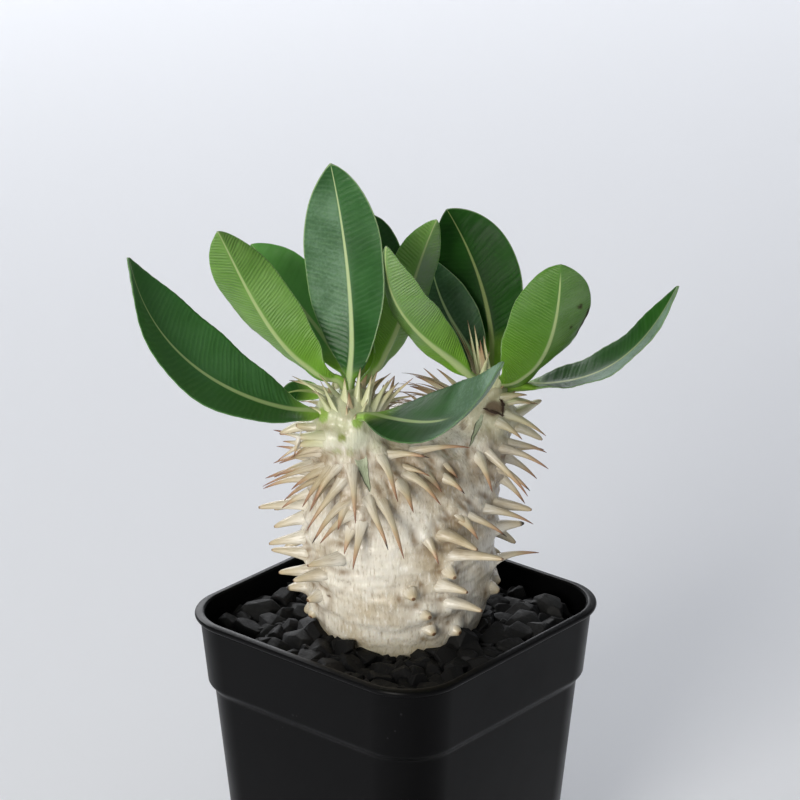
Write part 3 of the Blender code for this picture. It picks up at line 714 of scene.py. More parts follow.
@dataclass
class SquarePot:
    """A square nursery pot: rounded corners, a deep collar over a step, a rolled lip and drain holes, in metres."""

    finish: MouldedPlastic = field(default_factory=MouldedPlastic)
    side: float = 0.090
    height: float = 0.090
    corner: float = 0.0165
    taper: float = 0.08
    wall: float = 0.0012
    floor: float = 0.0016
    lip_reach: float = 0.0011
    lip_depth: float = 0.0022
    collar_depth: float = 0.0210
    collar_step: float = 0.0013
    step_slope: float = 0.0028
    foot_round: float = 0.0020
    foot_recess: float = 0.0005
    drain_radius: float = 0.0045
    drain_offset: float = 0.0200
    corner_segments: int = 20

    def outer_half(self, z: float) -> float:
        """Half the pot's outer width at a height, without its lip.

        Args:
            z: the height.

        Returns:
            Half the width.
        """
        collar = self.side / 2 - self.lip_reach - self.taper * (self.height - z)
        step = self.collar_step * (1 - smoothstep(-self.step_slope, 0.0, z - (self.height - self.collar_depth)))
        return collar - step

    def profile(self) -> list[tuple[float, float]]:
        """List the heights and half-widths of the moulding, from its underside over the lip to its floor.

        Returns:
            Pairs of a height and a half-width.
        """
        collar_foot = self.height - self.collar_depth
        rounded = [(self.foot_round * (1 - math.cos(a)), self.foot_round * 0.8 * (1 - math.sin(a)))
                   for a in np.linspace(0.0, math.pi / 2, 5)]
        rows = [(self.foot_recess, 0.0070), (0.0, 0.0062)] + rounded
        rows += [(collar_foot - self.step_slope * (1.25 - 1.5 * i / 10), 0.0) for i in range(11)]
        rows += [(self.height - self.lip_depth * 1.5, 0.0), (self.height - self.lip_depth, 0.0)]
        middle = self.height - self.lip_depth / 2
        rows += [(middle - self.lip_depth / 2 * math.cos(a), -self.lip_reach * math.sin(a))
                 for a in np.linspace(0.25, math.pi * 0.72, 9)]
        rows += [(self.height, self.lip_reach * 0.15), (self.height - 0.0001, self.wall * 0.72),
                 (self.height - 0.0006, self.wall)]
        rows += [(z, self.wall) for z in np.linspace(self.height - 0.004, collar_foot, 4)]
        rows += [(collar_foot - self.step_slope * i / 6, self.wall) for i in range(1, 7)]
        rows += [(self.floor + self.foot_round, self.wall), (self.floor, self.wall + self.foot_round * 0.8)]
        return [(z, self.outer_half(z) - inset) for z, inset in rows]

    def rounded_square(self, name: str, half: float, z: float) -> bpy.types.Object:
        """Add a flat square with round corners, left in edit mode with its face selected.

        Args:
            name: the piece's name.
            half: half its width.
            z: its height.

        Returns:
            The piece.
        """
        deselect_all()
        bpy.ops.mesh.primitive_plane_add(size=2 * half, location=(0, 0, z))
        piece = take_new(name)
        bpy.ops.object.mode_set(mode="EDIT")
        bpy.ops.mesh.select_all(action="SELECT")
        bpy.ops.mesh.bevel(offset=self.corner * half / (self.side / 2), segments=self.corner_segments,
                           profile=0.5, affect="VERTICES")
        bpy.ops.mesh.select_all(action="SELECT")
        return piece

    def raise_profile(self, rows: list[tuple[float, float]]) -> None:
        """Extrude the selected face through the rows after the first, scaling it to each width.

        Args:
            rows: pairs of a height and a half-width.
        """
        for (z, half), (next_z, next_half) in zip(rows, rows[1:]):
            bpy.ops.mesh.extrude_region_move(TRANSFORM_OT_translate={"value": (0, 0, next_z - z)})
            share = next_half / half
            bpy.ops.transform.resize(value=(share, share, 1.0), center_override=(0, 0, next_z))

    def cut_drains(self, pot: bpy.types.Object) -> None:
        """Cut the eight round drain holes: four by the corners and four by the sides.

        Args:
            pot: the pot.
        """
        for index in range(8):
            angle = math.radians(45 * index)
            reach = self.drain_offset * (1.0 if index % 2 else 1.3)
            deselect_all()
            bpy.ops.mesh.primitive_cylinder_add(
                vertices=32, radius=self.drain_radius, depth=6 * self.floor,
                location=(reach * math.sin(angle), reach * math.cos(angle), 0))
            cutter = take_new("drain_cutter")
            hole = pot.modifiers.new("drain", "BOOLEAN")
            hole.operation, hole.object, hole.solver = "DIFFERENCE", cutter, "EXACT"
            apply_all(pot)
            bpy.data.objects.remove(cutter)

    def build(self) -> bpy.types.Object:
        """Mould the pot.

        Returns:
            The finished pot.
        """
        rows = self.profile()
        pot = self.rounded_square("pot_body", rows[0][1], rows[0][0])
        bpy.ops.mesh.flip_normals()
        self.raise_profile(rows)
        bpy.ops.mesh.select_all(action="SELECT")
        bpy.ops.mesh.normals_make_consistent(inside=False)
        bpy.ops.object.mode_set(mode="OBJECT")
        self.cut_drains(pot)
        settle(pot, 32.0)
        pot.data.materials.append(self.finish.material())
        return present(pot, "black_plastic", "pot")


# What fills the pot


@dataclass
class Filling:
    """The potting mix, which the CAD node shows well enough, in its own material."""

    finish: PottingMix = field(default_factory=PottingMix)

    def dress(self, node: bpy.types.Object) -> None:
        """Give the CAD node the mix's material.

        Args:
            node: the CAD node.
        """
        node.data.materials.clear()
        node.data.materials.append(self.finish.material())


@dataclass
class GravelDressing:
    """The top dressing: a bed of fine grit and some hundreds of angular chips that lie on it, in metres."""

    pot: SquarePot
    finish: ChippedStone = field(default_factory=ChippedStone)
    underside: float = 0.0745
    bed: float = 0.0815
    gap: float = 0.0004
    pitch: float = 0.0066
    radii: tuple[float, float] = (0.0028, 0.0045)
    swell: float = 1.22
    rise: float = 0.0008
    seed: int = 5
    templates: int = 12
    heap: tuple[tuple[float, float], ...] = (
        (0, 0.1), (25, 0.5), (45, 0.8), (180, 0.3), (270, 1.1), (300, 1.2), (320, 0.2), (335, -0.4), (350, -0.3),
        (360, 0.1))
    leaning: tuple[tuple[float, float, float], ...] = ((24.0, 0.0046, 1.0),)
    filler_pitch: float = 0.0048
    filler_radii: tuple[float, float] = (0.0018, 0.0030)
    collar_stones: int = 46
    collar_radii: tuple[float, float] = (0.0024, 0.0042)

    def clear_of(self, x: float, y: float) -> tuple[float, float]:
        """Measure how far a place lies from the pot's inner wall and from the caudex.

        Args:
            x: the place in the pot.
            y: the place in the pot.

        Returns:
            The distance to the wall and to the caudex.
        """
        half = self.pot.outer_half(self.bed) - self.pot.wall - self.gap
        corner = self.pot.corner - self.pot.wall
        beyond = math.hypot(max(abs(x) - half + corner, 0), max(abs(y) - half + corner, 0))
        plant = Matrix.Rotation(-PLANT_TURN, 3, "Z") @ Vector((x, y, 0)) - Vector((*Caudex.barrel_axis, 0)) * MM
        plant = Matrix.Rotation(-Caudex.barrel_turn, 3, "Z") @ plant
        girth = float(Caudex.girth(np.array([85.0]))[0]) * MM
        return corner - beyond, math.hypot(plant.x, plant.y / Caudex.barrel_depth) - girth

    def sites(self) -> list[tuple[Vector, float, float, Points]]:
        """Place the larger stones where the CAD model has them, from the same seed.

        Returns:
            Each stone's place, radius, flatness and three turns.
        """
        draw = np.random.default_rng(self.seed)
        half = self.pot.outer_half(self.bed) - self.pot.wall - self.gap
        rows = int(2 * half / self.pitch) + 2
        found = []
        for row in range(rows):
            for column in range(rows):
                jitter = draw.uniform(-0.28, 0.28, 2) * self.pitch
                x = (column - (rows - 1) / 2 + 0.5 * (row % 2) - 0.25) * self.pitch + jitter[0]
                y = (row - (rows - 1) / 2) * self.pitch * 0.92 + jitter[1]
                radius = draw.uniform(*self.radii)
                lift = draw.uniform(-0.3, 0.25) * radius
                flatness = draw.uniform(0.62, 0.9)
                turn = draw.uniform(0, math.tau, 3)
                to_wall, to_caudex = self.clear_of(x, y)
                if to_wall > radius + 2 * self.gap and to_caudex > radius + 2 * self.gap:
                    found.append((Vector((x, y, self.bed + lift)), radius, flatness, turn))
        return found

    def fillers(self) -> list[tuple[Vector, float, float, Points]]:
        """Place smaller chips between and under the larger stones.

        Returns:
            Each chip's place, radius, flatness and three turns.
        """
        draw = np.random.default_rng(self.seed + 1)
        half = self.pot.outer_half(self.bed)
        rows = int(2 * half / self.filler_pitch) + 1
        found = []
        for row in range(rows):
            for column in range(rows):
                x, y = (np.array([column, row]) - (rows - 1) / 2 + draw.uniform(-0.4, 0.4, 2)) * self.filler_pitch
                radius = draw.uniform(*self.filler_radii)
                lift = draw.uniform(-0.2, 0.9) * radius
                turn = draw.uniform(0, math.tau, 3)
                to_wall, to_caudex = self.clear_of(x, y)
                if to_wall > radius * 0.9 and to_caudex > radius * 0.9:
                    found.append((Vector((x, y, self.bed + lift)), radius, draw.uniform(0.6, 0.95), turn))
        return found

    def collar(self) -> list[tuple[Vector, float, float, Points]]:
        """Heap stones against the foot of the caudex, lowest at its front.

        Returns:
            Each stone's place, radius, flatness and three turns.
        """
        draw = np.random.default_rng(self.seed + 3)
        axis = plant_place(np.array([[*Caudex.barrel_axis, 0.0]]))[0]
        found = []
        rows = []
        for index in range(self.collar_stones):
            bearing = 360 * (index + draw.uniform(-0.3, 0.3)) / self.collar_stones
            rows.append((bearing, draw.uniform(*self.collar_radii), float(np.interp(bearing, *zip(*self.heap)))))
        for degrees, radius, heap in [*rows, *self.leaning]:
            bearing = math.radians(degrees)
            z = self.bed + heap * radius + draw.uniform(-0.0003, 0.0005)
            wide = float(Caudex.girth(np.array([z / MM]))[0]) * MM + 0.6 * radius
            spot = Matrix.Rotation(Caudex.barrel_turn, 3, "Z") @ Vector((
                math.sin(bearing) * wide, -math.cos(bearing) * wide * Caudex.barrel_depth, 0))
            spot = Matrix.Rotation(PLANT_TURN, 3, "Z") @ spot + Vector((axis[0], axis[1], z))
            found.append((spot, radius, draw.uniform(0.65, 0.95), draw.uniform(0, math.tau, 3)))
        return found

    def chip(self, index: int) -> bpy.types.Object:
        """Model one chip: a ball cut by planes into broad faces, with its edges worn.

        Args:
            index: which of the templates it is.

        Returns:
            A template of radius one.
        """
        draw = np.random.default_rng(100 + index)
        deselect_all()
        bpy.ops.mesh.primitive_ico_sphere_add(subdivisions=1, radius=1.3)
        chip = take_new(f"chip_{index}")
        bpy.ops.object.mode_set(mode="EDIT")
        for cut in range(9):
            tilt, turn = math.acos(1 - 2 * (cut + draw.uniform(0.1, 0.9)) / 9), draw.uniform(0, math.tau)
            normal = Vector((math.sin(tilt) * math.cos(turn), math.sin(tilt) * math.sin(turn), math.cos(tilt)))
            bpy.ops.mesh.select_all(action="SELECT")
            bpy.ops.mesh.bisect(plane_co=normal * draw.uniform(0.55, 0.95), plane_no=normal, use_fill=True,
                                clear_outer=True)
        bpy.ops.mesh.select_all(action="SELECT")
        bpy.ops.mesh.remove_doubles(threshold=0.14)
        bpy.ops.mesh.dissolve_limited(angle_limit=math.radians(6))
        bpy.ops.mesh.normals_make_consistent(inside=False)
        bpy.ops.object.mode_set(mode="OBJECT")
        worn = chip.modifiers.new("worn_edges", "BEVEL")
        worn.width, worn.segments, worn.limit_method, worn.angle_limit = 0.045, 1, "ANGLE", math.radians(24)
        apply_all(chip)
        return chip

    def stones(self) -> bpy.types.Object:
        """Copy the templates to all the sites, as one piece.

        Returns:
            The stones.
        """
        templates = []
        for index in range(self.templates):
            chip = self.chip(index)
            templates.append((get_points(chip.data), [tuple(face.vertices) for face in chip.data.polygons]))
            bpy.data.objects.remove(chip)
        draw = np.random.default_rng(self.seed + 2)
        points, faces, tones_and_painted_shade, total = [], [], [], 0
        larger = [(site + Vector((0, 0, self.rise)), radius * self.swell, *rest) for site, radius, *rest in self.sites()]
        for site, radius, flatness, turn in larger + self.fillers() + self.collar():
            shape, sides = templates[draw.integers(self.templates)]
            tumble = Matrix.Rotation(turn[0], 3, "X") @ Matrix.Rotation(turn[1], 3, "Y")
            squash = Matrix.Diagonal((1.12, 0.9, flatness * 1.05))
            place = Matrix.Rotation(turn[2], 3, "Z") @ squash @ tumble
            points.append(shape @ np.array(place).T * radius * 1.08 + np.array(site))
            faces += [tuple(index + total for index in side) for side in sides]
            # Stones in front of the trunk are painted darker, as shade.
            depth = (Matrix.Rotation(-PLANT_TURN, 3, "Z") @ site).y
            tones_and_painted_shade += [draw.uniform() * float(smoothstep(-0.034, -0.016, depth))] * len(shape)
            total += len(shape)
        stones = mesh_of("gravel_stones", np.concatenate(points), faces)
        set_attribute(stones.data, "tone_and_painted_light", tones_and_painted_shade)
        return settle(stones, 20.0)

    def grit_bed(self) -> bpy.types.Object:
        """Make the bed of fine grit that the stones lie on, with the hole that the caudex stands in.

        Returns:
            The bed.
        """
        inset = self.pot.wall + self.gap
        low = self.pot.outer_half(self.underside) - inset
        high = self.pot.outer_half(self.bed) - inset
        bed = self.pot.rounded_square("gravel_bed", low, self.underside)
        bpy.ops.mesh.flip_normals()
        self.pot.raise_profile([(self.underside, low), (self.bed, high)])
        bpy.ops.mesh.select_all(action="SELECT")
        bpy.ops.mesh.normals_make_consistent(inside=False)
        bpy.ops.object.mode_set(mode="OBJECT")
        deselect_all()
        axis = plant_place(np.array([[*Caudex.barrel_axis, 0.0]]))[0]
        bpy.ops.mesh.primitive_cylinder_add(vertices=64, radius=1.0, depth=0.03, location=(axis[0], axis[1], self.bed))
        cutter = take_new("root_cutter")
        girth = float(Caudex.girth(np.array([78.0]))[0]) * MM + 0.0006
        cutter.scale = (girth, girth * Caudex.barrel_depth, 1.0)
        cutter.rotation_euler.z = PLANT_TURN + Caudex.barrel_turn
        hole = bed.modifiers.new("root_hole", "BOOLEAN")
        hole.operation, hole.object, hole.solver = "DIFFERENCE", cutter, "EXACT"
        apply_all(bed)
        bpy.data.objects.remove(cutter)
        set_attribute(bed.data, "tone_and_painted_light", np.zeros(len(bed.data.vertices)))
        return settle(bed, 30.0)

    def build(self) -> list[bpy.types.Object]:
        """Lay the whole dressing.

        Returns:
            The bed and the stones.
        """
        finish = self.finish.material()
        pieces = [self.grit_bed(), self.stones()]
        for piece in pieces:
            piece.data.materials.append(finish)
            present(piece, "black_gravel", "gravel")
        return pieces


# The caudex


class SpineKind(Enum):
    """How thick a spine is at its base and its tip, in millimetres, how far it bends, how its sides run in, how flat
    it is, and how dry and how young it looks."""

    NEEDLE = ("needle", 1.1, 0.10, 0.10, 0.95, 0.85, 0.1, 0.0)
    THORN = ("thorn", 1.55, 0.11, 0.13, 0.95, 0.85, 0.0, 0.0)
    PEG = ("peg", 1.9, 0.6, 0.05, 1.7, 0.85, 0.0, 0.0)
    STUB = ("stub", 1.60, 0.62, 0.00, 1.8, 0.95, 0.0, 0.0)
    SWORD = ("sword", 1.55, 0.10, 0.06, 1.1, 0.55, 0.0, 0.95)
    LIMB = ("limb", 1.9, 0.9, 0.05, 1.4, 0.8, 0.0, 0.6)
    FLAKE = ("flake", 1.7, 0.10, 0.2, 1.2, 0.35, 0.8, 0.0)
    BRISTLE = ("bristle", 0.6, 0.07, 0.06, 1.0, 0.95, 0.15, 0.0)

    def __init__(self, label: str, base: float, tip: float, bend: float, belly: float, flat: float, dry: float,
                 young: float) -> None:
        """Keep the kind's numbers by name."""
        self.label, self.base, self.tip, self.bend, self.belly = label, base, tip, bend, belly
        self.flat, self.dry, self.young = flat, dry, young

    @classmethod
    def named(cls, label: str) -> "SpineKind":
        """Find a kind by its label."""
        return next(kind for kind in cls if kind.label == label)

    @property
    def root(self) -> float:
        """How far it starts inside the skin."""
        return 4.0 if self is SpineKind.LIMB else 2.0

    @property
    def is_blunt(self) -> bool:
        """Whether its point has worn off."""
        return self.tip > 0.5


@dataclass
class Spine:
    """One spine in the plant's frame, in millimetres."""

    base: Points
    direction: Points
    length: float
    kind: SpineKind

    def axis(self, stations: Points) -> Points:
        """Points on the spine's axis, which bends down on the way.

        Args:
            stations: how far along each point is, from 0 at the skin to 1 at the tip.

        Returns:
            One row for each station.
        """
        sag = np.array([0, 0, -1.0]) - self.direction * -self.direction[2]
        lift = stations * (1 - stations)
        return (self.base + np.outer(stations * self.length, self.direction)
                - np.outer(lift * self.length * self.kind.bend * 2, sag))


# The spines on the side that shows, as they are in the CAD model: a bearing round the limb's axis from the front
# towards +X, a height, a length, and the bearing and slope that the spine points along.
FRONT_SPINES: dict[str, tuple] = {
    "barrel": (
        (-83, 122, 13.5, -80, -2, "peg"), (-77, 119, 9.5, -95, -20, "peg"),
        (-74, 114, 11.0, -95, -16, "peg"), (-72, 109, 10.5, -100, 1, "peg"),
        (-67, 105, 9.5, -96, -9, "peg"), (-52, 106, 9.0, -77, -5, "peg"),
        (-38, 113, 10.0, -63, -2, "peg"), (-25, 125, 14.0, -13, -50, "thorn"),
        (-31, 123, 8.0, -25, -52, "thorn"), (-35, 130, 15.0, -56, -40, "thorn"),
        (-30, 127, 12.5, -60, -32, "thorn"), (-14, 131, 19.0, 27, -38, "thorn"),
        (-22, 132, 17.0, 24, -40, "thorn"), (0, 135, 11.0, 23, -26, "thorn"),
        (5, 137, 15.0, 43, -18, "thorn"), (37, 135, 8.5, 51, -20, "thorn"),
        (42, 125, 6.0, 70, -43, "needle"), (49, 124, 14.0, 88, -30, "thorn"),
        (68, 123, 16.0, 102, -23, "thorn"), (82, 122, 11.0, 93, -11, "peg"),
        (85, 114, 8.5, 104, 5, "peg"), (29, 120, 12.5, 56, -8, "peg"), (36, 113, 16.5, 62, 8, "peg"),
        (84, 104, 14.0, 108, 4, "thorn"), (18, 120, 8.5, 38, -47, "thorn"),
        (34, 109, 4.5, 25, -8, "stub"), (28, 105, 9.0, 56, 0, "peg"), (7, 104, 3.5, 15, -10, "stub"),
        (34, 99, 11.0, 61, 1, "peg"), (16, 97, 3.5, 32, 5, "stub"), (21, 92, 3.0, 30, -14, "stub"),
        (41, 90, 3.0, 46, -7, "stub"), (80, 97, 3.0, 74, -18, "stub"), (-58, 99, 4.5, -45, -5, "stub"),
        (-78, 98, 6.0, -88, -8, "peg"), (8, 142, 17.0, 84, 6, "thorn"),
    ),
    "left": (
        (-15, 140, 12.5, -53, -48, "thorn"), (6, 141, 17.0, 9, -50, "thorn"),
        (-5, 136, 17.0, -55, -46, "thorn"), (50, 143, 16.0, 25, -36, "thorn"),
        (56, 142, 12.5, 79, 2, "thorn"), (-86, 140, 12.0, -105, -20, "needle"),
        (-76, 144, 9.5, -105, 12, "needle"), (-96, 137, 8.0, -125, -4, "needle"),
        (-100, 134, 13.0, -80, -5, "thorn"), (-106, 131, 15.0, -112, -19, "thorn"),
        (-95, 128, 9.5, -95, -32, "thorn"), (-27, 139, 13.5, -48, -40, "thorn"),
        (46, 156, 9.0, 156, 65, "needle"), (60, 155, 10.0, 136, 62, "needle"),
        (80, 153, 10.0, 118, 43, "needle"), (-130, 156, 12.5, -80, 22, "needle"),
        (-160, 156, 10.0, -150, 48, "needle"), (170, 156, 9.0, 170, 55, "needle"),
        (64, 139, 9.0, 74, -13, "needle"),
    ),
    "right": (
        (44, 128, 11.0, 92, -50, "thorn"), (-2, 137, 13.5, 18, -28, "thorn"),
        (36, 137, 15.5, 100, -27, "thorn"), (58, 137, 13.5, 112, -20, "thorn"),
        (28, 132, 12.0, 90, -38, "thorn"), (60, 133, 12.0, 100, -38, "thorn"),
        (60, 146, 12.0, 84, -30, "thorn"), (78, 149, 9.0, 105, -14, "needle"),
        (33, 145, 8.5, 62, -28, "thorn"), (-95, 147, 12.0, -85, 28, "thorn"),
        (-120, 148, 12.0, -100, 24, "thorn"), (-80, 143, 14.0, -70, 18, "thorn"),
        (-150, 147, 11.0, -130, 30, "needle"), (8, 138, 17.5, 62, -42, "thorn"),
    ),
}


# What crowds round the leaf bases and over the saddle, finer than the CAD model shows it: where each one starts, which
# is drawn onto the skin, where it ends, and its kind.
CROWN_SPINES: tuple[tuple, ...] = (
    ((-8.8, -15.9, 153.9), (-6.5, -12.9, 163.9), "sword"), ((-7.0, -14.2, 153.6), (-1.9, -9.2, 160.7), "sword"),
    ((-10.8, -13.7, 156.1), (-9.6, -12.7, 165.8), "sword"), ((-13.8, -15.4, 155.6), (-13.9, -15.4, 163.9), "sword"),
    ((-14.8, -13.8, 156.4), (-20.9, -12.8, 163.9), "sword"), ((-16.4, -16.6, 154.3), (-20.4, -18.6, 164.2), "sword"),
    ((-17.8, -16.5, 153.7), (-22.0, -19.5, 162.2), "sword"), ((-16.8, -14.0, 155.4), (-23.0, -15.5, 160.4), "sword"),
    ((-18.0, -9.0, 155.5), (-28.4, -8.1, 161.5), "sword"), ((-19.8, -11.6, 154.7), (-26.2, -11.6, 155.4), "flake"),
    ((-13.3, -19.2, 151.8), (-13.3, -18.2, 157.0), "bristle"), ((-9.3, -9.2, 157.0), (-7.9, -6.2, 161.5), "flake"),
    ((-17.8, -19.7, 148.1), (-26.5, -20.7, 148.8), "limb"), ((-19.2, -19.0, 146.3), (-26.6, -20.0, 146.2), "limb"),
    ((-22.0, -15.3, 149.6), (-27.2, -15.3, 150.1), "stub"), ((-20.3, -17.6, 144.3), (-31.6, -19.6, 140.8), "needle"),
    ((-19.8, -17.0, 138.9), (-33.0, -20.0, 136.9), "needle"), ((-19.2, -17.6, 139.3), (-36.1, -21.6, 134.6), "needle"),
    ((-19.0, -17.5, 136.1), (-30.5, -22.5, 131.1), "thorn"), ((18.6, 4.3, 150.1), (1.6, -1.0, 159.6), "flake"),
    ((17.5, 3.7, 148.9), (3.8, -2.0, 159.8), "flake"), ((16.4, 5.1, 148.6), (7.6, 2.0, 159.9), "needle"),
    ((15.9, 3.6, 147.1), (2.1, -3.0, 157.9), "flake"), ((-5.2, -7.2, 150.0), (4.6, -8.0, 161.0), "needle"),
    ((8.2, 2.1, 148.2), (0.5, -4.0, 155.6), "flake"), ((-3.1, -6.8, 148.7), (-3.1, -4.0, 156.5), "flake"),
    ((-7.9, -6.4, 153.9), (-1.5, -3.0, 160.6), "flake"), ((-8.7, -7.0, 155.4), (-3.3, -5.0, 160.1), "flake"),
    ((-5.9, -4.7, 149.6), (1.0, -5.0, 155.7), "flake"), ((-6.2, -5.3, 150.5), (-1.0, -6.0, 154.6), "needle"),
    ((10.6, 3.0, 146.5), (-1.2, -2.0, 152.5), "flake"), ((23.1, 8.7, 152.7), (19.6, 8.0, 171.9), "sword"),
    ((24.0, 8.7, 153.1), (21.4, 7.0, 170.8), "sword"), ((25.6, 8.2, 153.5), (24.1, 6.0, 168.0), "sword"),
    ((22.6, 9.1, 152.5), (15.2, 9.0, 171.0), "flake"), ((23.2, 7.4, 152.7), (25.5, 4.0, 164.0), "sword"),
    ((24.6, 7.6, 153.2), (23.0, 5.0, 167.2), "flake"), ((29.2, 4.2, 149.9), (38.4, 3.2, 149.1), "sword"),
    ((29.8, 3.0, 151.3), (36.0, 2.0, 152.0), "thorn"), ((-17.6, -11.0, 155.8), (-18.2, -10.0, 160.3), "flake"),
    ((-16.5, -13.0, 155.8), (-16.8, -13.0, 160.5), "flake"), ((-18.7, -11.9, 155.0), (-21.2, -12.0, 158.4), "flake"),
    ((-19.6, -14.6, 153.2), (-23.4, -15.6, 155.6), "sword"), ((-20.2, -13.0, 152.6), (-24.6, -13.8, 153.4), "flake"),
    ((-11.0, -18.5, 151.6), (-12.7, -18.0, 156.1), "sword"), ((-11.8, -19.4, 150.4), (-10.8, -20.0, 155.2), "sword"),
    ((29.1, 2.5, 147.0), (41.3, 0.0, 140.7), "thorn"),
    ((30.0, 5.0, 148.6), (38.2, 2.0, 149.5), "needle"), ((28.4, 3.3, 148.8), (33.1, 5.0, 152.1), "needle"),
    ((27.8, 5.1, 151.8), (30.8, 5.0, 154.5), "flake"), ((26.6, 5.1, 152.1), (28.7, 1.0, 160.4), "sword"),
    ((27.3, 5.2, 152.1), (29.9, 2.0, 159.2), "sword"), ((-20.4, -16.3, 142.2), (-31.7, -20.0, 140.9), "needle"),
    ((-21.9, -12.8, 137.5), (-33.3, -16.0, 135.2), "thorn"), ((-18.8, -17.5, 138.6), (-28.2, -23.0, 134.3), "thorn"),
    ((-17.9, -17.9, 135.9), (-23.5, -24.0, 128.4), "thorn"), ((-21.4, -16.0, 144.8), (-28.7, -20.0, 142.4), "needle"),
    ((6.9, -16.2, 137.6), (12.4, -19.0, 132.0), "thorn"), ((11.3, -12.9, 139.0), (16.9, -14.0, 134.0), "thorn"),
    ((17.8, -15.2, 122.9), (22.3, -22.0, 119.1), "thorn"), ((-13.7, -20.4, 129.0), (-15.8, -26.0, 123.8), "thorn"),
    ((14.8, 5.5, 146.9), (4.0, 1.0, 152.5), "flake"), ((14.0, 4.5, 146.0), (1.0, -2.0, 150.0), "flake"),
    ((15.9, 6.1, 148.5), (5.5, 2.0, 155.5), "flake"), ((16.8, 6.6, 149.5), (8.5, 3.0, 157.0), "flake"),
    ((-5.5, -3.5, 149.0), (4.0, -2.5, 152.5), "flake"), ((-4.5, -3.0, 147.5), (6.0, -1.5, 149.5), "flake"),
    ((-6.3, -3.0, 151.3), (2.0, -1.5, 156.0), "flake"), ((9.0, 2.0, 145.5), (-1.0, -2.5, 148.5), "flake"),
    ((12.0, 3.5, 145.8), (3.0, -0.5, 150.8), "needle"), ((-12.2, -17.8, 152.6), (-12.8, -15.8, 160.0), "flake"),
    ((-9.8, -17.4, 152.4), (-7.6, -17.6, 158.6), "sword"), ((-17.4, -16.6, 153.6), (-18.8, -16.2, 158.4), "sword"),
    ((22.8, 9.0, 152.6), (17.6, 8.5, 168.0), "flake"), ((23.4, 8.8, 152.8), (19.8, 8.0, 166.5), "flake"),
    ((24.4, 8.2, 153.2), (22.6, 6.4, 165.0), "needle"), ((22.2, 9.2, 152.4), (13.8, 9.4, 167.0), "flake"),
    ((23.6, 7.9, 153.0), (24.6, 5.2, 160.5), "flake"),
    ((14.8, 5.5, 146.9), (-1.5, -3.0, 154.6), "flake"), ((12.0, 3.5, 145.8), (-2.5, -4.0, 152.6), "flake"),
    ((-6.3, -3.0, 151.3), (5.5, -2.5, 153.6), "needle"), ((-6.3, -3.0, 151.3), (3.5, -3.5, 151.6), "flake"),
    ((-7.5, -5.0, 153.0), (0.5, -3.6, 155.8), "flake"), ((16.2, 5.6, 147.8), (0.5, -1.6, 156.6), "flake"),
)
# Dry bristles on the ends of the two young limbs on the left head.
LIMB_BRISTLES: tuple[tuple, ...] = (
    ((-26.0, -20.6, 148.8), (-31.5, -20.4, 149.6)), ((-26.2, -20.6, 148.4), (-27.6, -21.6, 143.4)),
    ((-26.0, -19.9, 146.2), (-32.1, -21.1, 141.8)), ((-26.2, -19.9, 146.6), (-30.6, -20.5, 147.4)),
)


@dataclass(frozen=True)
class Head:
    """One of the caudex's heads, in millimetres: two tapering rods with round ends, and its spiral of spines."""

    limb: tuple[tuple[float, float, float], tuple[float, float, float], float, float]
    crown: tuple[tuple[float, float, float], tuple[float, float, float], float, float]
    pairs: int
    start: float
    fresh: float


HEADS: dict[str, Head] = {
    "left": Head(((-5, -4, 118), (-13.5, -10.5, 147), 19.0, 10.0),
                 ((-13.5, -10.5, 147), (-13.0, -8.5, 154), 9.0, 4.5), 34, 0.4, 0.75),
    "right": Head(((10, 3, 116), (23.0, 8.0, 143), 17.0, 9.5),
                  ((23.0, 8.0, 143), (26.5, 8.5, 149.5), 8.5, 4.5), 30, 1.5, 0.4),
}


def round_cone(points: Points, start: tuple, end: tuple, start_radius: float, end_radius: float) -> Points:
    """Signed distance to a rod with round ends that tapers from start to end.

    Args:
        points: where it is read.
        start: the rod's first end.
        end: its other end.
        start_radius: its radius at the first end.
        end_radius: its radius at the other end.

    Returns:
        One distance for each point.
    """
    start, end = np.asarray(start, float), np.asarray(end, float)
    axis = end - start
    along = np.clip((points - start) @ axis / (axis @ axis), 0, 1)
    radius = start_radius + (end_radius - start_radius) * along
    return np.linalg.norm(points - start - along[:, None] * axis, axis=1) - radius


def blend(first: Points, second: Points, reach: float) -> Points:
    """Join two signed distances with a fillet.

    Args:
        first: one distance for each point.
        second: another distance for each point.
        reach: about how wide the fillet is.

    Returns:
        The joined distances.
    """
    mix = np.clip(0.5 + 0.5 * (second - first) / reach, 0, 1)
    return second + (first - second) * mix - reach * mix * (1 - mix)


def horizontal(bearing: float) -> Points:
    """The way a bearing in degrees points, counted from the front towards +X."""
    angle = math.radians(bearing)
    return np.array([math.sin(angle), -math.cos(angle), 0.0])


class Mark(Enum):
    """What a painted place on the skin is, named for the attribute that the skin's material reads."""

    SCAR = "scar"
    BRUISE = "bruise"
    WAX = "wax"
    YOUNG = "young"
    LIME = "lime"


@dataclass(frozen=True)
class SkinMark:
    """A painted place: its kind, its limb, its bearing and height, its size across and up, and its turn."""

    kind: Mark
    limb: str
    bearing: float
    height: float
    across: float
    up: float
    turn: float = 0.0
    strength: float = 1.0


# A narrow cleft, drawn as a thin scale in dark browns.
CLEFT = SplitBark("split_skin_brown", head="#6b4e33", face="#5a4029", streak="#4a3422", edge="#3a2818")


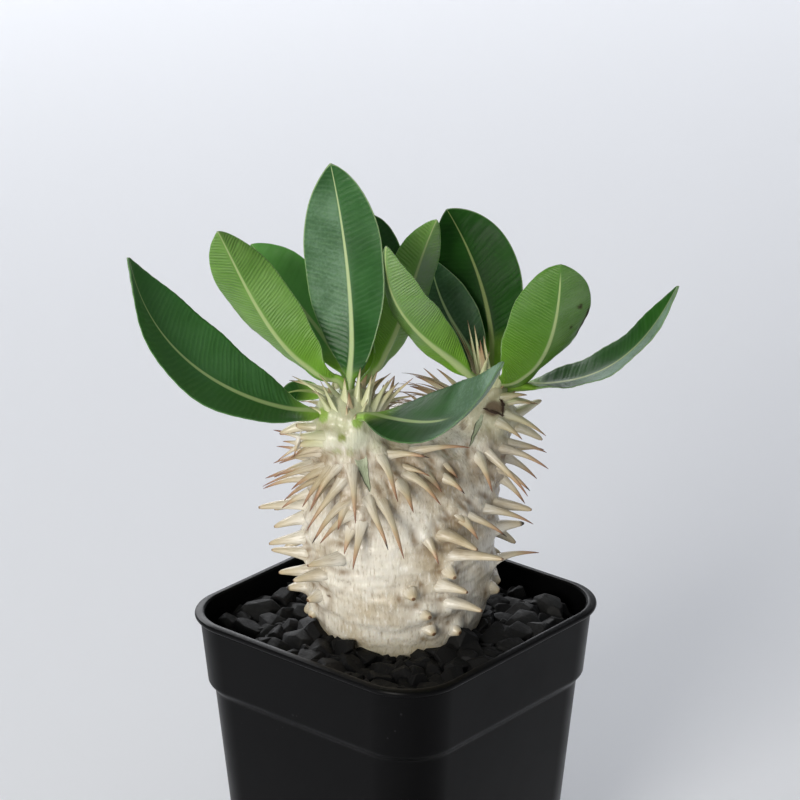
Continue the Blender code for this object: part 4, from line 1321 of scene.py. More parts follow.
@dataclass(frozen=True)
class SkinSplit:
    """A narrow split in the skin, as a thin scale: its two ends as a bearing and a height on a limb, its greatest
    width in millimetres, where along it is widest, and its finish."""

    name: str
    limb: str
    start: tuple[float, float]
    end: tuple[float, float]
    width: float
    widest: float
    far_edge: float = 0.6
    dark: float = 0.0
    finish: SplitBark = SplitBark()
    steps_along: int = 60
    steps_across: int = 12
    thickness: float = 0.22
    lift: float = 0.1
    ragged: float = 0.2

    def build(self, skin: BVHTree) -> bpy.types.Object:
        """Model the scale: a fine grid drawn onto the skin, with ragged edges that lift a little.

        Args:
            skin: search tree of the finished trunk.

        Returns:
            The scale.
        """
        deselect_all()
        bpy.ops.mesh.primitive_grid_add(x_subdivisions=self.steps_across, y_subdivisions=self.steps_along, size=2.0)
        scale = take_new(self.name)
        flat = get_points(scale.data)
        start, end = (plant_place(Caudex.place_on(self.limb, *spot)[None])[0] for spot in (self.start, self.end))
        along, v = (flat[:, 1] + 1) / 2, flat[:, 0]
        normal = plant_place(Caudex.normals_at(Caudex.place_on(self.limb, *self.start)[None]))[0]
        side = np.cross(end - start, normal)
        side /= np.linalg.norm(side)
        ragged = np.array([noise.noise(Vector((a * 9.0, math.copysign(1.0, b), self.width))) for a, b in zip(along, v)])
        rise = np.where(along < self.widest, along / self.widest, (1 - along) / (1 - self.widest))
        half = self.width / 2 * MM * np.clip(rise, 0.02, 1) ** 0.8 * (1 + 1.5 * self.ragged * ragged)
        wander = self.ragged * self.width * MM * np.array([noise.noise(Vector((a * 4.0, 7.0, 0.0))) for a in along])
        places = start + np.outer(along, end - start) + np.outer(v * half + wander, side)
        points = []
        sunk = 0.4 * smoothstep(0.25, 0.0, along) + 0.2 * smoothstep(0.8, 1.0, along)
        for place, across, down in zip(places, v, sunk):
            near, towards, _, _ = skin.find_nearest(Vector(place))
            points.append(near + towards * (self.lift + 0.2 * abs(across) ** 4 - down) * MM)
        set_points(scale.data, np.array(points))
        lifted = smoothstep(0.72, 0.92, v) + self.far_edge * smoothstep(0.72, 0.92, -v)
        set_attribute(scale.data, "rim", np.maximum(lifted * smoothstep(0.2, 0.5, along), self.dark))
        set_attribute(scale.data, "along", along)
        set_attribute(scale.data, "across", v * half / MM)
        flesh = scale.modifiers.new("thickness", "SOLIDIFY")
        flesh.thickness, flesh.offset = self.thickness * MM, 0.0
        apply_all(scale)
        bpy.context.view_layer.objects.active = scale
        bpy.ops.object.mode_set(mode="EDIT")
        bpy.ops.mesh.select_all(action="SELECT")
        bpy.ops.mesh.normals_make_consistent(inside=False)
        bpy.ops.object.mode_set(mode="OBJECT")
        settle(scale, 60.0)
        scale.data.materials.append(self.finish.material())
        return present(scale, "silver_bark", "caudex")


SPLITS: tuple[SkinSplit, ...] = (
    SkinSplit("split_left", "left", (21, 143.2), (29.5, 133.0), 3.7, 0.03, 0.15, ragged=0.07),
    SkinSplit("split_right", "right", (8, 148.1), (-13, 139.5), 1.5, 0.4, 0.5),
    SkinSplit("cleft_low", "right", (4, 148.8), (39, 146.1), 0.5, 0.7, dark=1.0, finish=CLEFT),
    SkinSplit("cleft_side", "right", (52, 150.4), (40, 146.2), 0.45, 0.5, dark=1.0, finish=CLEFT),
)


@dataclass
class Caudex:
    """The swollen trunk, laid out in the plant's frame in millimetres, as the CAD model lays it out."""

    skin: SilverSkin = field(default_factory=SilverSkin)
    horn: DrySpine = field(default_factory=DrySpine)
    segments: int = 320
    rings: int = 224
    spine_seed: int = 11
    spine_spacing: float = 6.4
    barrel_pairs: int = 46
    lowest_spine: float = 91.0
    facing_front: float = -0.35
    clearance: float = 0.5
    marks: tuple[SkinMark, ...] = (
        SkinMark(Mark.SCAR, "left", -6, 148.7, 1.0, 0.9),
        SkinMark(Mark.SCAR, "left", -13, 144.8, 1.5, 0.9, strength=0.5),
        SkinMark(Mark.SCAR, "left", 6, 144.6, 1.2, 1.4, strength=0.45),
        SkinMark(Mark.LIME, "left", -44, 152.8, 1.9, 1.9, strength=0.85),
        SkinMark(Mark.LIME, "left", 18, 151.8, 1.6, 1.5, strength=0.85),
        SkinMark(Mark.WAX, "left", 14, 147.4, 3.6, 2.6, strength=0.6),
        SkinMark(Mark.WAX, "left", -24, 148.0, 3.0, 2.0, strength=0.35),
        SkinMark(Mark.BRUISE, "right", 27, 148.3, 2.9, 2.1, strength=0.8),
        SkinMark(Mark.BRUISE, "right", -27, 144.4, 1.0, 1.4, strength=0.55),
        SkinMark(Mark.BRUISE, "right", -33, 142.2, 1.4, 1.0, strength=0.5),
        SkinMark(Mark.BRUISE, "barrel", -50, 99.9, 0.6, 0.4, strength=0.9),
    )

    splits: tuple[SkinSplit, ...] = SPLITS

    centre = np.array([3.0, 0.0, 120.0])
    barrel_axis = (1.0, 0.0)
    barrel_depth = 0.88
    barrel_turn = math.radians(20)
    heights = (58, 62, 70, 78, 84, 90, 97, 106, 116, 126, 134, 142, 149)
    girths = (-1, 5, 14, 19.5, 22.8, 25.0, 26.4, 26.6, 26.2, 25.2, 22.5, 17, 6)
    fillet = 5.0

    @classmethod
    def girth(cls, z: Points) -> Points:
        """The barrel's half-width along its wide side at each height."""
        return np.interp(z, cls.heights, cls.girths, left=-9.0, right=-4.0)

    @classmethod
    def field_at(cls, points: Points) -> Points:
        """Signed distance to the caudex, roughly.

        Args:
            points: where it is read, in the plant's frame.

        Returns:
            One distance for each point.
        """
        cos_turn, sin_turn = math.cos(cls.barrel_turn), math.sin(cls.barrel_turn)
        x, y = points[:, 0] - cls.barrel_axis[0], points[:, 1] - cls.barrel_axis[1]
        wide = x * cos_turn + y * sin_turn
        deep = (y * cos_turn - x * sin_turn) / cls.barrel_depth
        distance = np.hypot(wide, deep) - cls.girth(points[:, 2])
        for head in HEADS.values():
            distance = blend(distance, round_cone(points, *head.limb), cls.fillet)
            distance = blend(distance, round_cone(points, *head.crown), cls.fillet / 2)
        return distance

    @classmethod
    def reach(cls, directions: Points) -> Points:
        """How far the surface lies from the centre in each direction.

        Args:
            directions: one unit row for each direction.

        Returns:
            One distance for each direction.
        """
        distances = np.linspace(75, 4, 143)
        low, high = np.empty(len(directions)), np.empty(len(directions))
        for start in range(0, len(directions), 8192):
            part = slice(start, start + 8192)
            samples = cls.centre + directions[part, None, :] * distances[None, :, None]
            inside = cls.field_at(samples.reshape(-1, 3)).reshape(-1, len(distances)) < 0
            first = inside.argmax(axis=1)
            low[part], high[part] = distances[first], distances[np.maximum(first - 1, 0)]
        for _ in range(14):
            middle = (low + high) / 2
            is_inside = cls.field_at(cls.centre + directions * middle[:, None]) < 0
            low, high = np.where(is_inside, middle, low), np.where(is_inside, high, middle)
        return low

    @classmethod
    def surface_along(cls, origin: Points, direction: Points) -> Points:
        """Where a ray from inside leaves the surface."""
        steps = np.arange(60, 0, -0.2)
        inside = cls.field_at(origin + steps[:, None] * direction) < 0
        return origin + steps[inside.argmax()] * direction

    @classmethod
    def normals_at(cls, points: Points) -> Points:
        """The outward normals near points of the surface."""
        gradient = np.stack([
            cls.field_at(points + offset) - cls.field_at(points - offset) for offset in np.eye(3) * 0.5], axis=1)
        return gradient / np.linalg.norm(gradient, axis=1)[:, None]

    @classmethod
    def limb_axis(cls, name: str) -> Points:
        """A point on the axis that a limb's bearings are counted round."""
        return np.array([*cls.barrel_axis, 0.0]) if name == "barrel" else np.array([*HEADS[name].limb[1][:2], 0.0])

    @classmethod
    def place_on(cls, limb: str, bearing: float, height: float) -> Points:
        """The place on the skin at a bearing and a height of a limb."""
        return cls.surface_along(cls.limb_axis(limb) + [0, 0, height], horizontal(bearing))

    def placed_spines(self) -> list[Spine]:
        """The spines of the side that shows.

        Returns:
            The spines.
        """
        found = []
        for limb, rows in FRONT_SPINES.items():
            for bearing, height, length, aim, rise, kind in rows:
                slope = math.radians(rise)
                direction = horizontal(aim) * math.cos(slope) + np.array([0, 0, math.sin(slope)])
                found.append(Spine(self.place_on(limb, bearing, height), direction, length, SpineKind.named(kind)))
        return found

    def crown_spines(self) -> list[Spine]:
        """The finer growth round the leaf bases, each drawn onto the skin, and the bristles on the young limbs.

        Returns:
            The spines.
        """
        found = []
        for start, end, label in CROWN_SPINES:
            base = np.array(start, float)
            for _ in range(4):
                sunk = {"limb": 1.3, "stub": 1.1}.get(label, 0.4)
                base = base - self.normals_at(base[None])[0] * (self.field_at(base[None])[0] + sunk)
            span = np.array(end) - base
            length = float(np.linalg.norm(span))
            found.append(Spine(base, span / length, length, SpineKind.named(label)))
        for start, end in LIMB_BRISTLES:
            span = np.array(end) - np.array(start)
            length = float(np.linalg.norm(span))
            found.append(Spine(np.array(start), span / length, length, SpineKind.BRISTLE))
        return found

    def spiral_sites(self) -> list[tuple[Points, Points]]:
        """Where the other pairs grow: a golden-angle spiral down each head, and one round the barrel.

        Returns:
            Each pair's place and the apex that it looks away from.
        """
        found = []
        for head in HEADS.values():
            centre, apex = np.array(head.limb[1], float), np.array(head.crown[1], float)
            tilt = Vector(apex - np.array(head.limb[0])).to_track_quat("Z", "Y")
            for k in range(head.pairs):
                polar = math.radians(34 + 100 * ((k + 0.5) / head.pairs) ** 0.85)
                angle = head.start + k * GOLDEN_ANGLE
                ray = Vector((math.sin(polar) * math.cos(angle), math.sin(polar) * math.sin(angle), math.cos(polar)))
                found.append((self.surface_along(centre, np.array(tilt @ ray)), apex))
        centre = np.array([*self.barrel_axis, 112.0])
        for k in range(self.barrel_pairs):
            slope = math.radians(62 - 102 * ((k + 0.5) / self.barrel_pairs) ** 0.8)
            ray = horizontal(math.degrees(k * GOLDEN_ANGLE)) * math.cos(slope) + [0, 0, math.sin(slope)]
            found.append((self.surface_along(centre, ray), centre + [0, 0, 45]))
        return found

    def grown_spines(self, taken: list[Spine]) -> list[Spine]:
        """Grow pairs on the spirals, where the skin faces away from the front and no spine is near.

        Args:
            taken: the spines that are there already.

        Returns:
            The new spines.
        """
        draw = np.random.default_rng(self.spine_seed)
        bases = [spine.base for spine in taken]
        found = []
        for site, apex in self.spiral_sites():
            turn, scale = draw.uniform(-0.25, 0.25), draw.uniform(0.85, 1.15)
            near = min(np.linalg.norm(site - base) for base in bases)
            if site[2] < self.lowest_spine or near < self.spine_spacing:
                continue
            normal = self.normals_at(site[None])[0]
            if normal[1] < self.facing_front:
                continue
            bases.append(site)
            up = apex - site
            age = float(np.clip((np.linalg.norm(up) - 8) / 42, 0, 1))
            up = up - normal * (up @ normal)
            up /= max(np.linalg.norm(up), 1e-6)
            side = np.cross(normal, up)
            side = side * math.cos(turn) + up * math.sin(turn)
            label = "needle" if age < 0.22 else "thorn" if age < 0.68 else "peg"
            length = scale * {"needle": 10.5, "thorn": 13.5, "peg": 9.5}[label]
            if normal[1] < 0.25 and site[2] < 101:
                label, length = "stub", 3.0 * scale
            for hand in (-1, 1):
                direction = normal * 0.85 + side * hand * 0.5 + up * (0.45 - 0.95 * age)
                direction[2] = max(direction[2], -0.55)
                direction /= np.linalg.norm(direction)
                found.append(Spine(site + side * hand * 1.3, direction, length, SpineKind.named(label)))
        return found

    def clear_spines(self, neighbours: list[BVHTree]) -> list[Spine]:
        """Keep every spine off its neighbours: cut shorter where it would meet one, or left out.

        Args:
            neighbours: search trees of the leaves, and of the gravel and pot.

        Returns:
            The spines that stay.
        """
        front = self.placed_spines()
        kept = []
        for spine in front + self.grown_spines(front):
            for share in (1.0, 0.8, 0.6, 0.4):
                shorter = Spine(spine.base, spine.direction, spine.length * share, spine.kind)
                start, end = shorter.axis(np.array([0.25, 1.0]))
                samples = plant_place(start + np.outer(np.arange(-2, 9) / 8, end - start))
                reach = (spine.kind.base + self.clearance) * MM
                if all(tree.find_nearest(place, reach)[0] is None for place in samples for tree in neighbours):
                    kept.append(shorter)
                    break
        return kept + self.crown_spines()

    def body(self, spines: list[Spine]) -> bpy.types.Object:
        """Model the trunk: a fine ball whose points are moved to the skin, swollen where a spine grows from it.

        Args:
            spines: the spines that grow from it.

        Returns:
            The trunk.
        """
        deselect_all()
        bpy.ops.mesh.primitive_uv_sphere_add(segments=self.segments, ring_count=self.rings, radius=1.0)
        body = take_new("caudex_body")
        directions = get_points(body.data)
        directions /= np.linalg.norm(directions, axis=1)[:, None]
        points = self.centre + directions * self.reach(directions)[:, None]
        normals = self.normals_at(points)
        raised, hollow = self.ridges(points, spines)
        folds = np.array([noise.fractal(Vector((x * 0.075, y * 0.075, z * 0.15)), 0.6, 2.0, 3) for x, y, z in points])
        lumps = np.array([noise.noise(Vector(point) * 0.3) for point in points])
        folds *= smoothstep(80.0, 94.0, points[:, 2])
        lift = raised + 0.75 * folds + 0.16 * lumps - 0.25 * hollow
        self.paint(body.data, points, lumps, hollow)
        set_points(body.data, plant_place(points + normals * lift[:, None]))
        body.data.shade_smooth()
        body.data.materials.append(self.skin.material())
        return present(body, "silver_bark", "caudex")

    def ridges(self, points: Points, spines: list[Spine]) -> tuple[Points, Points]:
        """Swell the skin under every spine: a broad foot that runs back, as a ridge, from where the spine leans.

        Args:
            points: the skin's points in the plant's frame.
            spines: the spines that grow from it.

        Returns:
            How far each point is raised, in millimetres, and how much shade is painted on it, in the ring round a foot
            and under a shaft.
        """
        raised, painted_shade = np.zeros(len(points)), np.zeros(len(points))
        normals = self.normals_at(np.array([spine.base for spine in spines]))
        for spine, normal in zip(spines, normals):
            near = np.nonzero(np.abs(points - spine.base).max(axis=1) < 16.0)[0]
            if spine.kind is SpineKind.BRISTLE or not len(near):
                continue
            lean = spine.direction - normal * (spine.direction @ normal)
            slant = float(np.linalg.norm(lean))
            lean = lean / max(slant, 1e-6)
            back, ahead = 1.0 + 5.5 * slant, 0.8 + 1.6 * slant
            offset = points[near] - spine.base
            along = np.clip(offset @ lean, -back, ahead)
            away = np.linalg.norm(offset - np.outer(along, lean), axis=1)
            fade = np.where(along < 0, 1 + 0.85 * along / back, 1 - 0.5 * along / ahead)
            raised[near] += (0.95 * spine.kind.base * fade * np.exp(-((away / (1.45 * spine.kind.base)) ** 2))) ** 3
            # A ring of painted shade lies in the fold round the foot.
            rim = np.exp(-(((away - 2.2 * spine.kind.base) / 1.0) ** 2)) * fade
            # Under its shaft, where the spine hangs close, shade is painted: the skin is made browner.
            ahead_by = np.clip(offset @ spine.direction, 0, 0.8 * spine.length)
            gap = np.linalg.norm(offset - np.outer(ahead_by, spine.direction), axis=1)
            under = np.exp(-((gap / (2.4 * spine.kind.base)) ** 2)) * smoothstep(0.5, 3.0, ahead_by)
            painted_shade[near] = np.maximum(painted_shade[near], np.maximum(rim, under))
        return raised ** (1 / 3), painted_shade

    def paint(self, mesh: bpy.types.Mesh, points: Points, lumps: Points, hollow: Points) -> None:
        """Store where the skin is stained, young, scarred or bruised, and the shade painted round the spines.

        Args:
            mesh: the trunk's mesh.
            points: its points in the plant's frame.
            lumps: the skin's low unevenness, which breaks up the edges of what is painted.
            hollow: how much shade is painted on each point, in the ring round a spine's foot and under its shaft.
        """
        wander = lumps * 3.0
        # Shade is painted round the spines' feet and under their shafts.
        set_attribute(mesh, "painted_shade", 0.9 * hollow)
        set_attribute(mesh, "stain", 0.45 * smoothstep(92.0, 82.0, points[:, 2] + wander))
        painted = {mark: np.zeros(len(points)) for mark in Mark}
        for name, head in HEADS.items():
            apex = np.array(head.crown[1], float)
            away = np.linalg.norm(points - apex, axis=1)
            painted[Mark.YOUNG] = np.maximum(painted[Mark.YOUNG], head.fresh * smoothstep(18.0, 8.0, away + wander))
        for mark in self.marks:
            spot = self.place_on(mark.limb, mark.bearing, mark.height)
            normal = self.normals_at(spot[None])[0]
            side = np.cross([0, 0, 1.0], normal)
            side /= np.linalg.norm(side)
            up = np.cross(normal, side)
            cos_turn, sin_turn = math.cos(math.radians(mark.turn)), math.sin(math.radians(mark.turn))
            offset = points - spot
            x, y = offset @ side, offset @ up
            x, y = (x * cos_turn + y * sin_turn) / mark.across, (y * cos_turn - x * sin_turn) / mark.up
            depth = (offset @ normal) / max(mark.across, mark.up)
            inside = smoothstep(1.15, 0.8, np.sqrt(x * x + y * y + depth * depth * 0.5) + lumps * 0.25)
            painted[mark.kind] = np.maximum(painted[mark.kind], mark.strength * inside)
        for mark, values in painted.items():
            set_attribute(mesh, mark.value, values)

    def template(self, sides: int = 14, steps: int = 12) -> tuple[Points, list[tuple[int, ...]]]:
        """Model one straight spine of length and radius one, by extruding a circle and merging its tip.

        Args:
            sides: how many sides it has.
            steps: how many times it is extruded.

        Returns:
            Its points and its faces.
        """
        deselect_all()
        bpy.ops.mesh.primitive_circle_add(vertices=sides, radius=1.0, fill_type="NGON")
        spine = take_new("spine_template")
        bpy.ops.object.mode_set(mode="EDIT")
        bpy.ops.mesh.select_all(action="SELECT")
        for _ in range(steps):
            bpy.ops.mesh.extrude_region_move(TRANSFORM_OT_translate={"value": (0, 0, 1 / steps)})
        bpy.ops.mesh.poke()
        bpy.ops.mesh.select_all(action="SELECT")
        bpy.ops.mesh.normals_make_consistent(inside=False)
        bpy.ops.object.mode_set(mode="OBJECT")
        drawing = get_points(spine.data), [tuple(face.vertices) for face in spine.data.polygons]
        bpy.data.objects.remove(spine)
        return drawing

    def spines(self, spines: list[Spine]) -> bpy.types.Object:
        """Copy the template to every spine, each bent, tapered and flared into the skin.

        Args:
            spines: the spines.

        Returns:
            All spines as one piece.
        """
        shape, sides = self.template()
        draw = np.random.default_rng(self.spine_seed + 1)
        points, faces, total = [], [], 0
        stored = {name: [] for name in ("along", "youth", "dryness", "blunt", "charred", "grain_x", "grain_y", "grain_z")}
        share = shape[:, 2] ** 0.8
        rim = np.hypot(shape[:, 0], shape[:, 1])
        normals = self.normals_at(np.array([spine.base for spine in spines]))
        for spine, normal in zip(spines, normals):
            kind = spine.kind
            # A spine that lies along the skin has a longer root, and curves up out of the skin.
            slant = math.sqrt(max(1 - float(spine.direction @ normal) ** 2, 0.0))
            root = kind.root + (0.0 if kind is SpineKind.BRISTLE else 3.2 * slant ** 2)
            stations = share * (1 + root / spine.length) - root / spine.length
            centres = spine.axis(stations)
            sunk = 0.6 * kind.base * slant ** 2 * np.exp(-np.maximum(stations, 0) * spine.length / 3.5)
            sunk += 0.05 * (np.minimum(stations, 0) * spine.length) ** 2
            centres -= np.outer(sunk if kind is not SpineKind.BRISTLE else 0 * sunk, normal)
            sway = np.cross(spine.direction, [0, 0, 1.0]) * draw.uniform(-0.035, 0.035) * spine.length
            centres += np.outer(np.sin(np.clip(stations, 0, 1) * math.pi * 1.5), sway)
            ahead = spine.axis(stations + 0.01) - spine.axis(stations - 0.01)
            twist = draw.uniform(0, math.tau)
            clipped = np.clip(stations, 0, 1)
            run_in = 1 - clipped ** kind.belly if kind.is_blunt else (1 - clipped) ** kind.belly
            radius = kind.tip + (kind.base - kind.tip) * run_in
            radius += 0.55 * kind.base * np.exp(-np.maximum(stations, 0) * spine.length / 1.7)
            # The root runs in narrow, so that a spine that leans along the skin rises from it with no butt.
            radius *= 0.15 + 0.85 * smoothstep(-root, 0.9, stations * spine.length)
            radius *= np.where(rim < 0.5, 0.0, 1.0) * np.where(share > 0.999, 0.6, 1.0)
            bearing = np.arctan2(shape[:, 1], shape[:, 0]) + twist
            ridged = np.cos(3 * bearing + draw.uniform(0, math.tau)) + 0.6 * np.cos(5 * bearing + draw.uniform(0, math.tau))
            radius *= 1 + 0.09 * ridged * (1 - clipped)
            for i in range(len(shape)):
                frame_here = Vector(ahead[i]).to_track_quat("Z", "Y")
                across = radius[i] * math.cos(bearing[i]), radius[i] * math.sin(bearing[i]) * kind.flat
                points.append(centres[i] + frame_here @ Vector((*across, 0)))
            near, fresh = min((np.linalg.norm(spine.base - head.crown[1]), head.fresh) for head in HEADS.values())
            green = max(kind.young, float(smoothstep(13.0, 7.0, near)) * fresh) * (1 - kind.dry)
            faces += [tuple(index + total for index in side) for side in sides]
            stored["along"] += list(clipped)
            stored["youth"] += [green] * len(shape)
            stored["dryness"] += [kind.dry * draw.uniform(0.6, 1.0)] * len(shape)
            stored["blunt"] += [float(kind.is_blunt)] * len(shape)
            stored["charred"] += [float(draw.uniform() < 0.16)] * len(shape)
            stored["grain_x"] += list(0.002 * np.cos(bearing) + 0.1 * total)
            stored["grain_y"] += list(0.002 * np.sin(bearing))
            stored["grain_z"] += list(0.15 * stations * spine.length * MM)
            total += len(shape)
        piece = mesh_of("caudex_spines", plant_place(np.array(points)), faces)
        for name, values in stored.items():
            set_attribute(piece.data, name, values)
        settle(piece, 60.0)
        piece.data.materials.append(self.horn.material())
        return present(piece, "silver_bark", "caudex")

    def build(self, neighbours: list[BVHTree]) -> list[bpy.types.Object]:
        """Grow the trunk and its spines.

        Args:
            neighbours: search trees of what the spines keep off.

        Returns:
            The trunk and the spines.
        """
        spines = self.clear_spines(neighbours)
        LOG.info("%d spines", len(spines))
        body = self.body(spines)
        skin = BVHTree.FromPolygons(get_points(body.data).tolist(), [tuple(face.vertices) for face in body.data.polygons])
        return [body, self.spines(spines), *(split.build(skin) for split in self.splits)]


# The leaves


class LeafLook(Enum):
    """The two faces of a leaf's blade, as finishes."""

    DARK = LeafCuticle("leaf_cuticle_dark", flesh="#17450d", flesh_light="#356a2b", margin_amount=0.15,
                       rib_half_mm=1.3, foot_mm=(6.0, 16.0, 0.92))
    DEEP = LeafCuticle("leaf_cuticle_deep", flesh="#143d0a", flesh_light="#2b5e1c", rib="#8f9f62", vein_and_highlight_amount=0.1,
                       specular=0.12)
    # The silvered look: a strong waxy coating, partly a painted sheen.
    SHEEN = LeafCuticle("leaf_cuticle_bloom_and_sheen", flesh="#1f4a1b", flesh_light="#3a6d36", bloom_and_sheen="#84a488",
                        bloom_and_sheen_amount=0.55, rib="#b5c792", vein_depth=0.4, vein_and_highlight="#779a70", margin_amount=0.7,
                        foot_mm=(2.0, 7.0, 0.6))
    MID = LeafCuticle("leaf_cuticle_mid", flesh="#2b6611", flesh_light="#62a04a", vein_depth=0.12, vein_and_highlight_amount=0.08)
    PALE = LeafCuticle("leaf_underside_pale", flesh="#42701f", flesh_light="#739c4b", rib="#a6b87e", vein_and_highlight="#8bae64",
                       furrow_shade="#35601c", stalk="#6a9a20", vein_pitch_mm=0.9, vein_depth=0.5, vein_and_highlight_amount=0.28,
                       furrow_shade_amount=0.3, bloom_and_sheen="#7f9474", rib_half_mm=1.35, foot_mm=(6.0, 34.0, 0.7))
    DULL = LeafCuticle("leaf_underside_dull", flesh="#38652c", flesh_light="#587f49", rib="#a3b67c", vein_and_highlight="#7f9f6a",
                       vein_pitch_mm=0.9, vein_depth=0.5, vein_and_highlight_amount=0.3, furrow_shade_amount=0.3, bloom_and_sheen="#84998a",
                       foot_mm=(5.0, 24.0, 0.6))


@dataclass(frozen=True)
class Leaf:
    """One leaf in the plant's frame, in millimetres: four points along its midrib from base to tip, its width, the
    way its upper face looks at the base and at the tip, how far its halves fold up, how much they cup, and how far
    along it is widest."""

    name: str
    midrib: tuple[tuple[float, float, float], ...]
    width: float
    face_base: tuple[float, float, float]
    face_tip: tuple[float, float, float]
    fold: float
    cup: float
    widest: float
    upper: LeafLook = LeafLook.DARK
    under: LeafLook = LeafLook.DULL
    # How light the flesh is; set partly to paint in the light or shade that falls on the leaf.
    tone_and_painted_light: float = 0.3
    # Where the waxy coating and its painted sheen lie: from and to across, from and to along, and how strong.
    bloom_and_sheen: tuple[float, float, float, float, float] = (-1.0, 1.0, 0.0, 1.0, 0.35)
    veins: tuple[float, float] = (1.0, 1.0)
    fullness: float = 1.05
    rib_until: float = 1.2
    waviness: float = 0.3
    corrugation: float = 0.05
    cork: tuple[tuple[float, float, float, float], ...] = ()
    thickness: float = 0.62
    stalk_thickness: float = 2.2
    steps_along: int = 128
    steps_across: int = 26
    clearance: float = 0.5

    def along_midrib(self, t: Points) -> tuple[Points, Points]:
        """The smooth curve through the midrib's points.

        Args:
            t: where it is read, from 0 at the base to 1 at the tip.

        Returns:
            The places on the curve and its headings.
        """
        places = (0, 1 / 3, 2 / 3, 1)

        def curve(at: Points) -> Points:
            total = np.zeros((len(at), 3))
            for i, point in enumerate(self.midrib):
                weight = np.ones(len(at))
                for j, other in enumerate(places):
                    if j != i:
                        weight *= (at - other) / (places[i] - other)
                total += np.outer(weight, np.array(point, float))
            return total

        start, anchor, inward = self.anchor
        first = curve(np.array([0.0, 0.005]))
        leave = (first[0] - first[1]) / np.linalg.norm(first[0] - first[1])
        span = np.linalg.norm(anchor - first[0])

        def stalk(at: Points) -> Points:
            q = np.clip(at / start, 0, 1)[:, None]
            return ((1 + 2 * q) * (1 - q) ** 2 * first[0] + q * (1 - q) ** 2 * span * leave
                    + q * q * (3 - 2 * q) * anchor + q * q * (q - 1) * span * inward)

        def whole(at: Points) -> Points:
            return np.where((at < 0)[:, None], stalk(at), curve(np.maximum(at, 0)))

        heading = whole(t + 0.005) - whole(t - 0.005)
        return whole(t), heading / np.linalg.norm(heading, axis=1)[:, None]

    @cached_property
    def anchor(self) -> tuple[float, Points, Points]:
        """Where the stalk grows from the crown: how far back along the leaf, the place, and the way in."""
        base, ahead = np.array(self.midrib[0], float), np.array(self.midrib[1], float)
        heading = (ahead - base) / np.linalg.norm(ahead - base)
        place = base - 2.0 * heading
        for _ in range(6):
            place = place - Caudex.normals_at(place[None])[0] * Caudex.field_at(place[None])[0]
        inward = -Caudex.normals_at(place[None])[0]
        place = place + 2.4 * inward
        whole = sum(np.linalg.norm(np.subtract(b, a)) for a, b in zip(self.midrib, self.midrib[1:]))
        return -float(np.linalg.norm(place - base)) / float(whole), place, inward

    def half_width(self, t: Points) -> Points:
        """The blade's half-width: drawn out to the stalk and blunt at the tip.

        Args:
            t: where it is read.

        Returns:
            Half the width at each place.
        """
        low = np.maximum(1 - (np.maximum(self.widest - t, 0) / self.widest) ** 2, 0) ** self.fullness
        high = np.maximum(1 - (np.maximum(t - self.widest, 0) / (1 - self.widest)) ** 2.4, 0) ** 0.75
        blade = self.width / 2 * np.where(t < self.widest, low, high)
        return np.maximum(blade, np.where(t < 0.5, 1.25, 0.12))

    def stalk_share(self, t: Points) -> Points:
        """How far each place is stalk rather than blade."""
        return 1 - smoothstep(0.06, 0.22, t)

    def surface(self, t: Points, v: Points) -> tuple[Points, Points]:
        """The blade's middle surface.

        Args:
            t: how far along each point is.
            v: how far across it is, from -1 to 1.

        Returns:
            The points and the way the upper face looks there.
        """
        centre, heading = self.along_midrib(t)
        face = np.outer(1 - t, self.face_base) + np.outer(t, self.face_tip)
        side = np.cross(heading, face)
        side /= np.linalg.norm(side, axis=1)[:, None]
        normal = np.cross(side, heading)
        half = self.half_width(t)
        blade = 1 - self.stalk_share(t)
        soft = np.sqrt(v * v + 0.012) - 0.11
        lift = (self.fold * soft + self.cup * v * v) * half * blade
        phase = t * 9.0 + self.widest * 40
        edge = np.abs(v) ** 2.5
        wave = self.waviness * edge * blade * np.sin(phase * 2.6 + np.sign(v) * 1.3) * smoothstep(0.0, 3.0, half)
        ribbing = self.corrugation * np.sin((t * self.length() - np.abs(v) * half * 0.38) * math.tau / 3.4)
        ribbing = ribbing * smoothstep(0.12, 0.5, np.abs(v)) * blade
        place = centre + side * (v * half * math.cos(math.atan(self.fold)))[:, None]
        return place + normal * (lift + wave + ribbing)[:, None], normal

    def length(self) -> float:
        """The midrib's length."""
        centre, _ = self.along_midrib(np.linspace(0, 1, 60))
        return float(np.linalg.norm(np.diff(centre, axis=0), axis=1).sum())

    def foot(self) -> float:
        """Find where the stalk enters the crown.

        Returns:
            How far along the midrib that is, which may be a little under 0.
        """
        clear = next((k / 100 for k in range(40)
                      if Caudex.field_at(self.surface(np.full(3, k / 100), np.array([-1.0, 0, 1]))[0]).min()
                      > self.clearance + self.stalk_thickness / 2), 0.4)
        return next((k / 100 for k in range(int(clear * 100), 0, -1)
                     if Caudex.field_at(self.along_midrib(np.array([k / 100]))[0])[0] < -1.8), self.anchor[0])

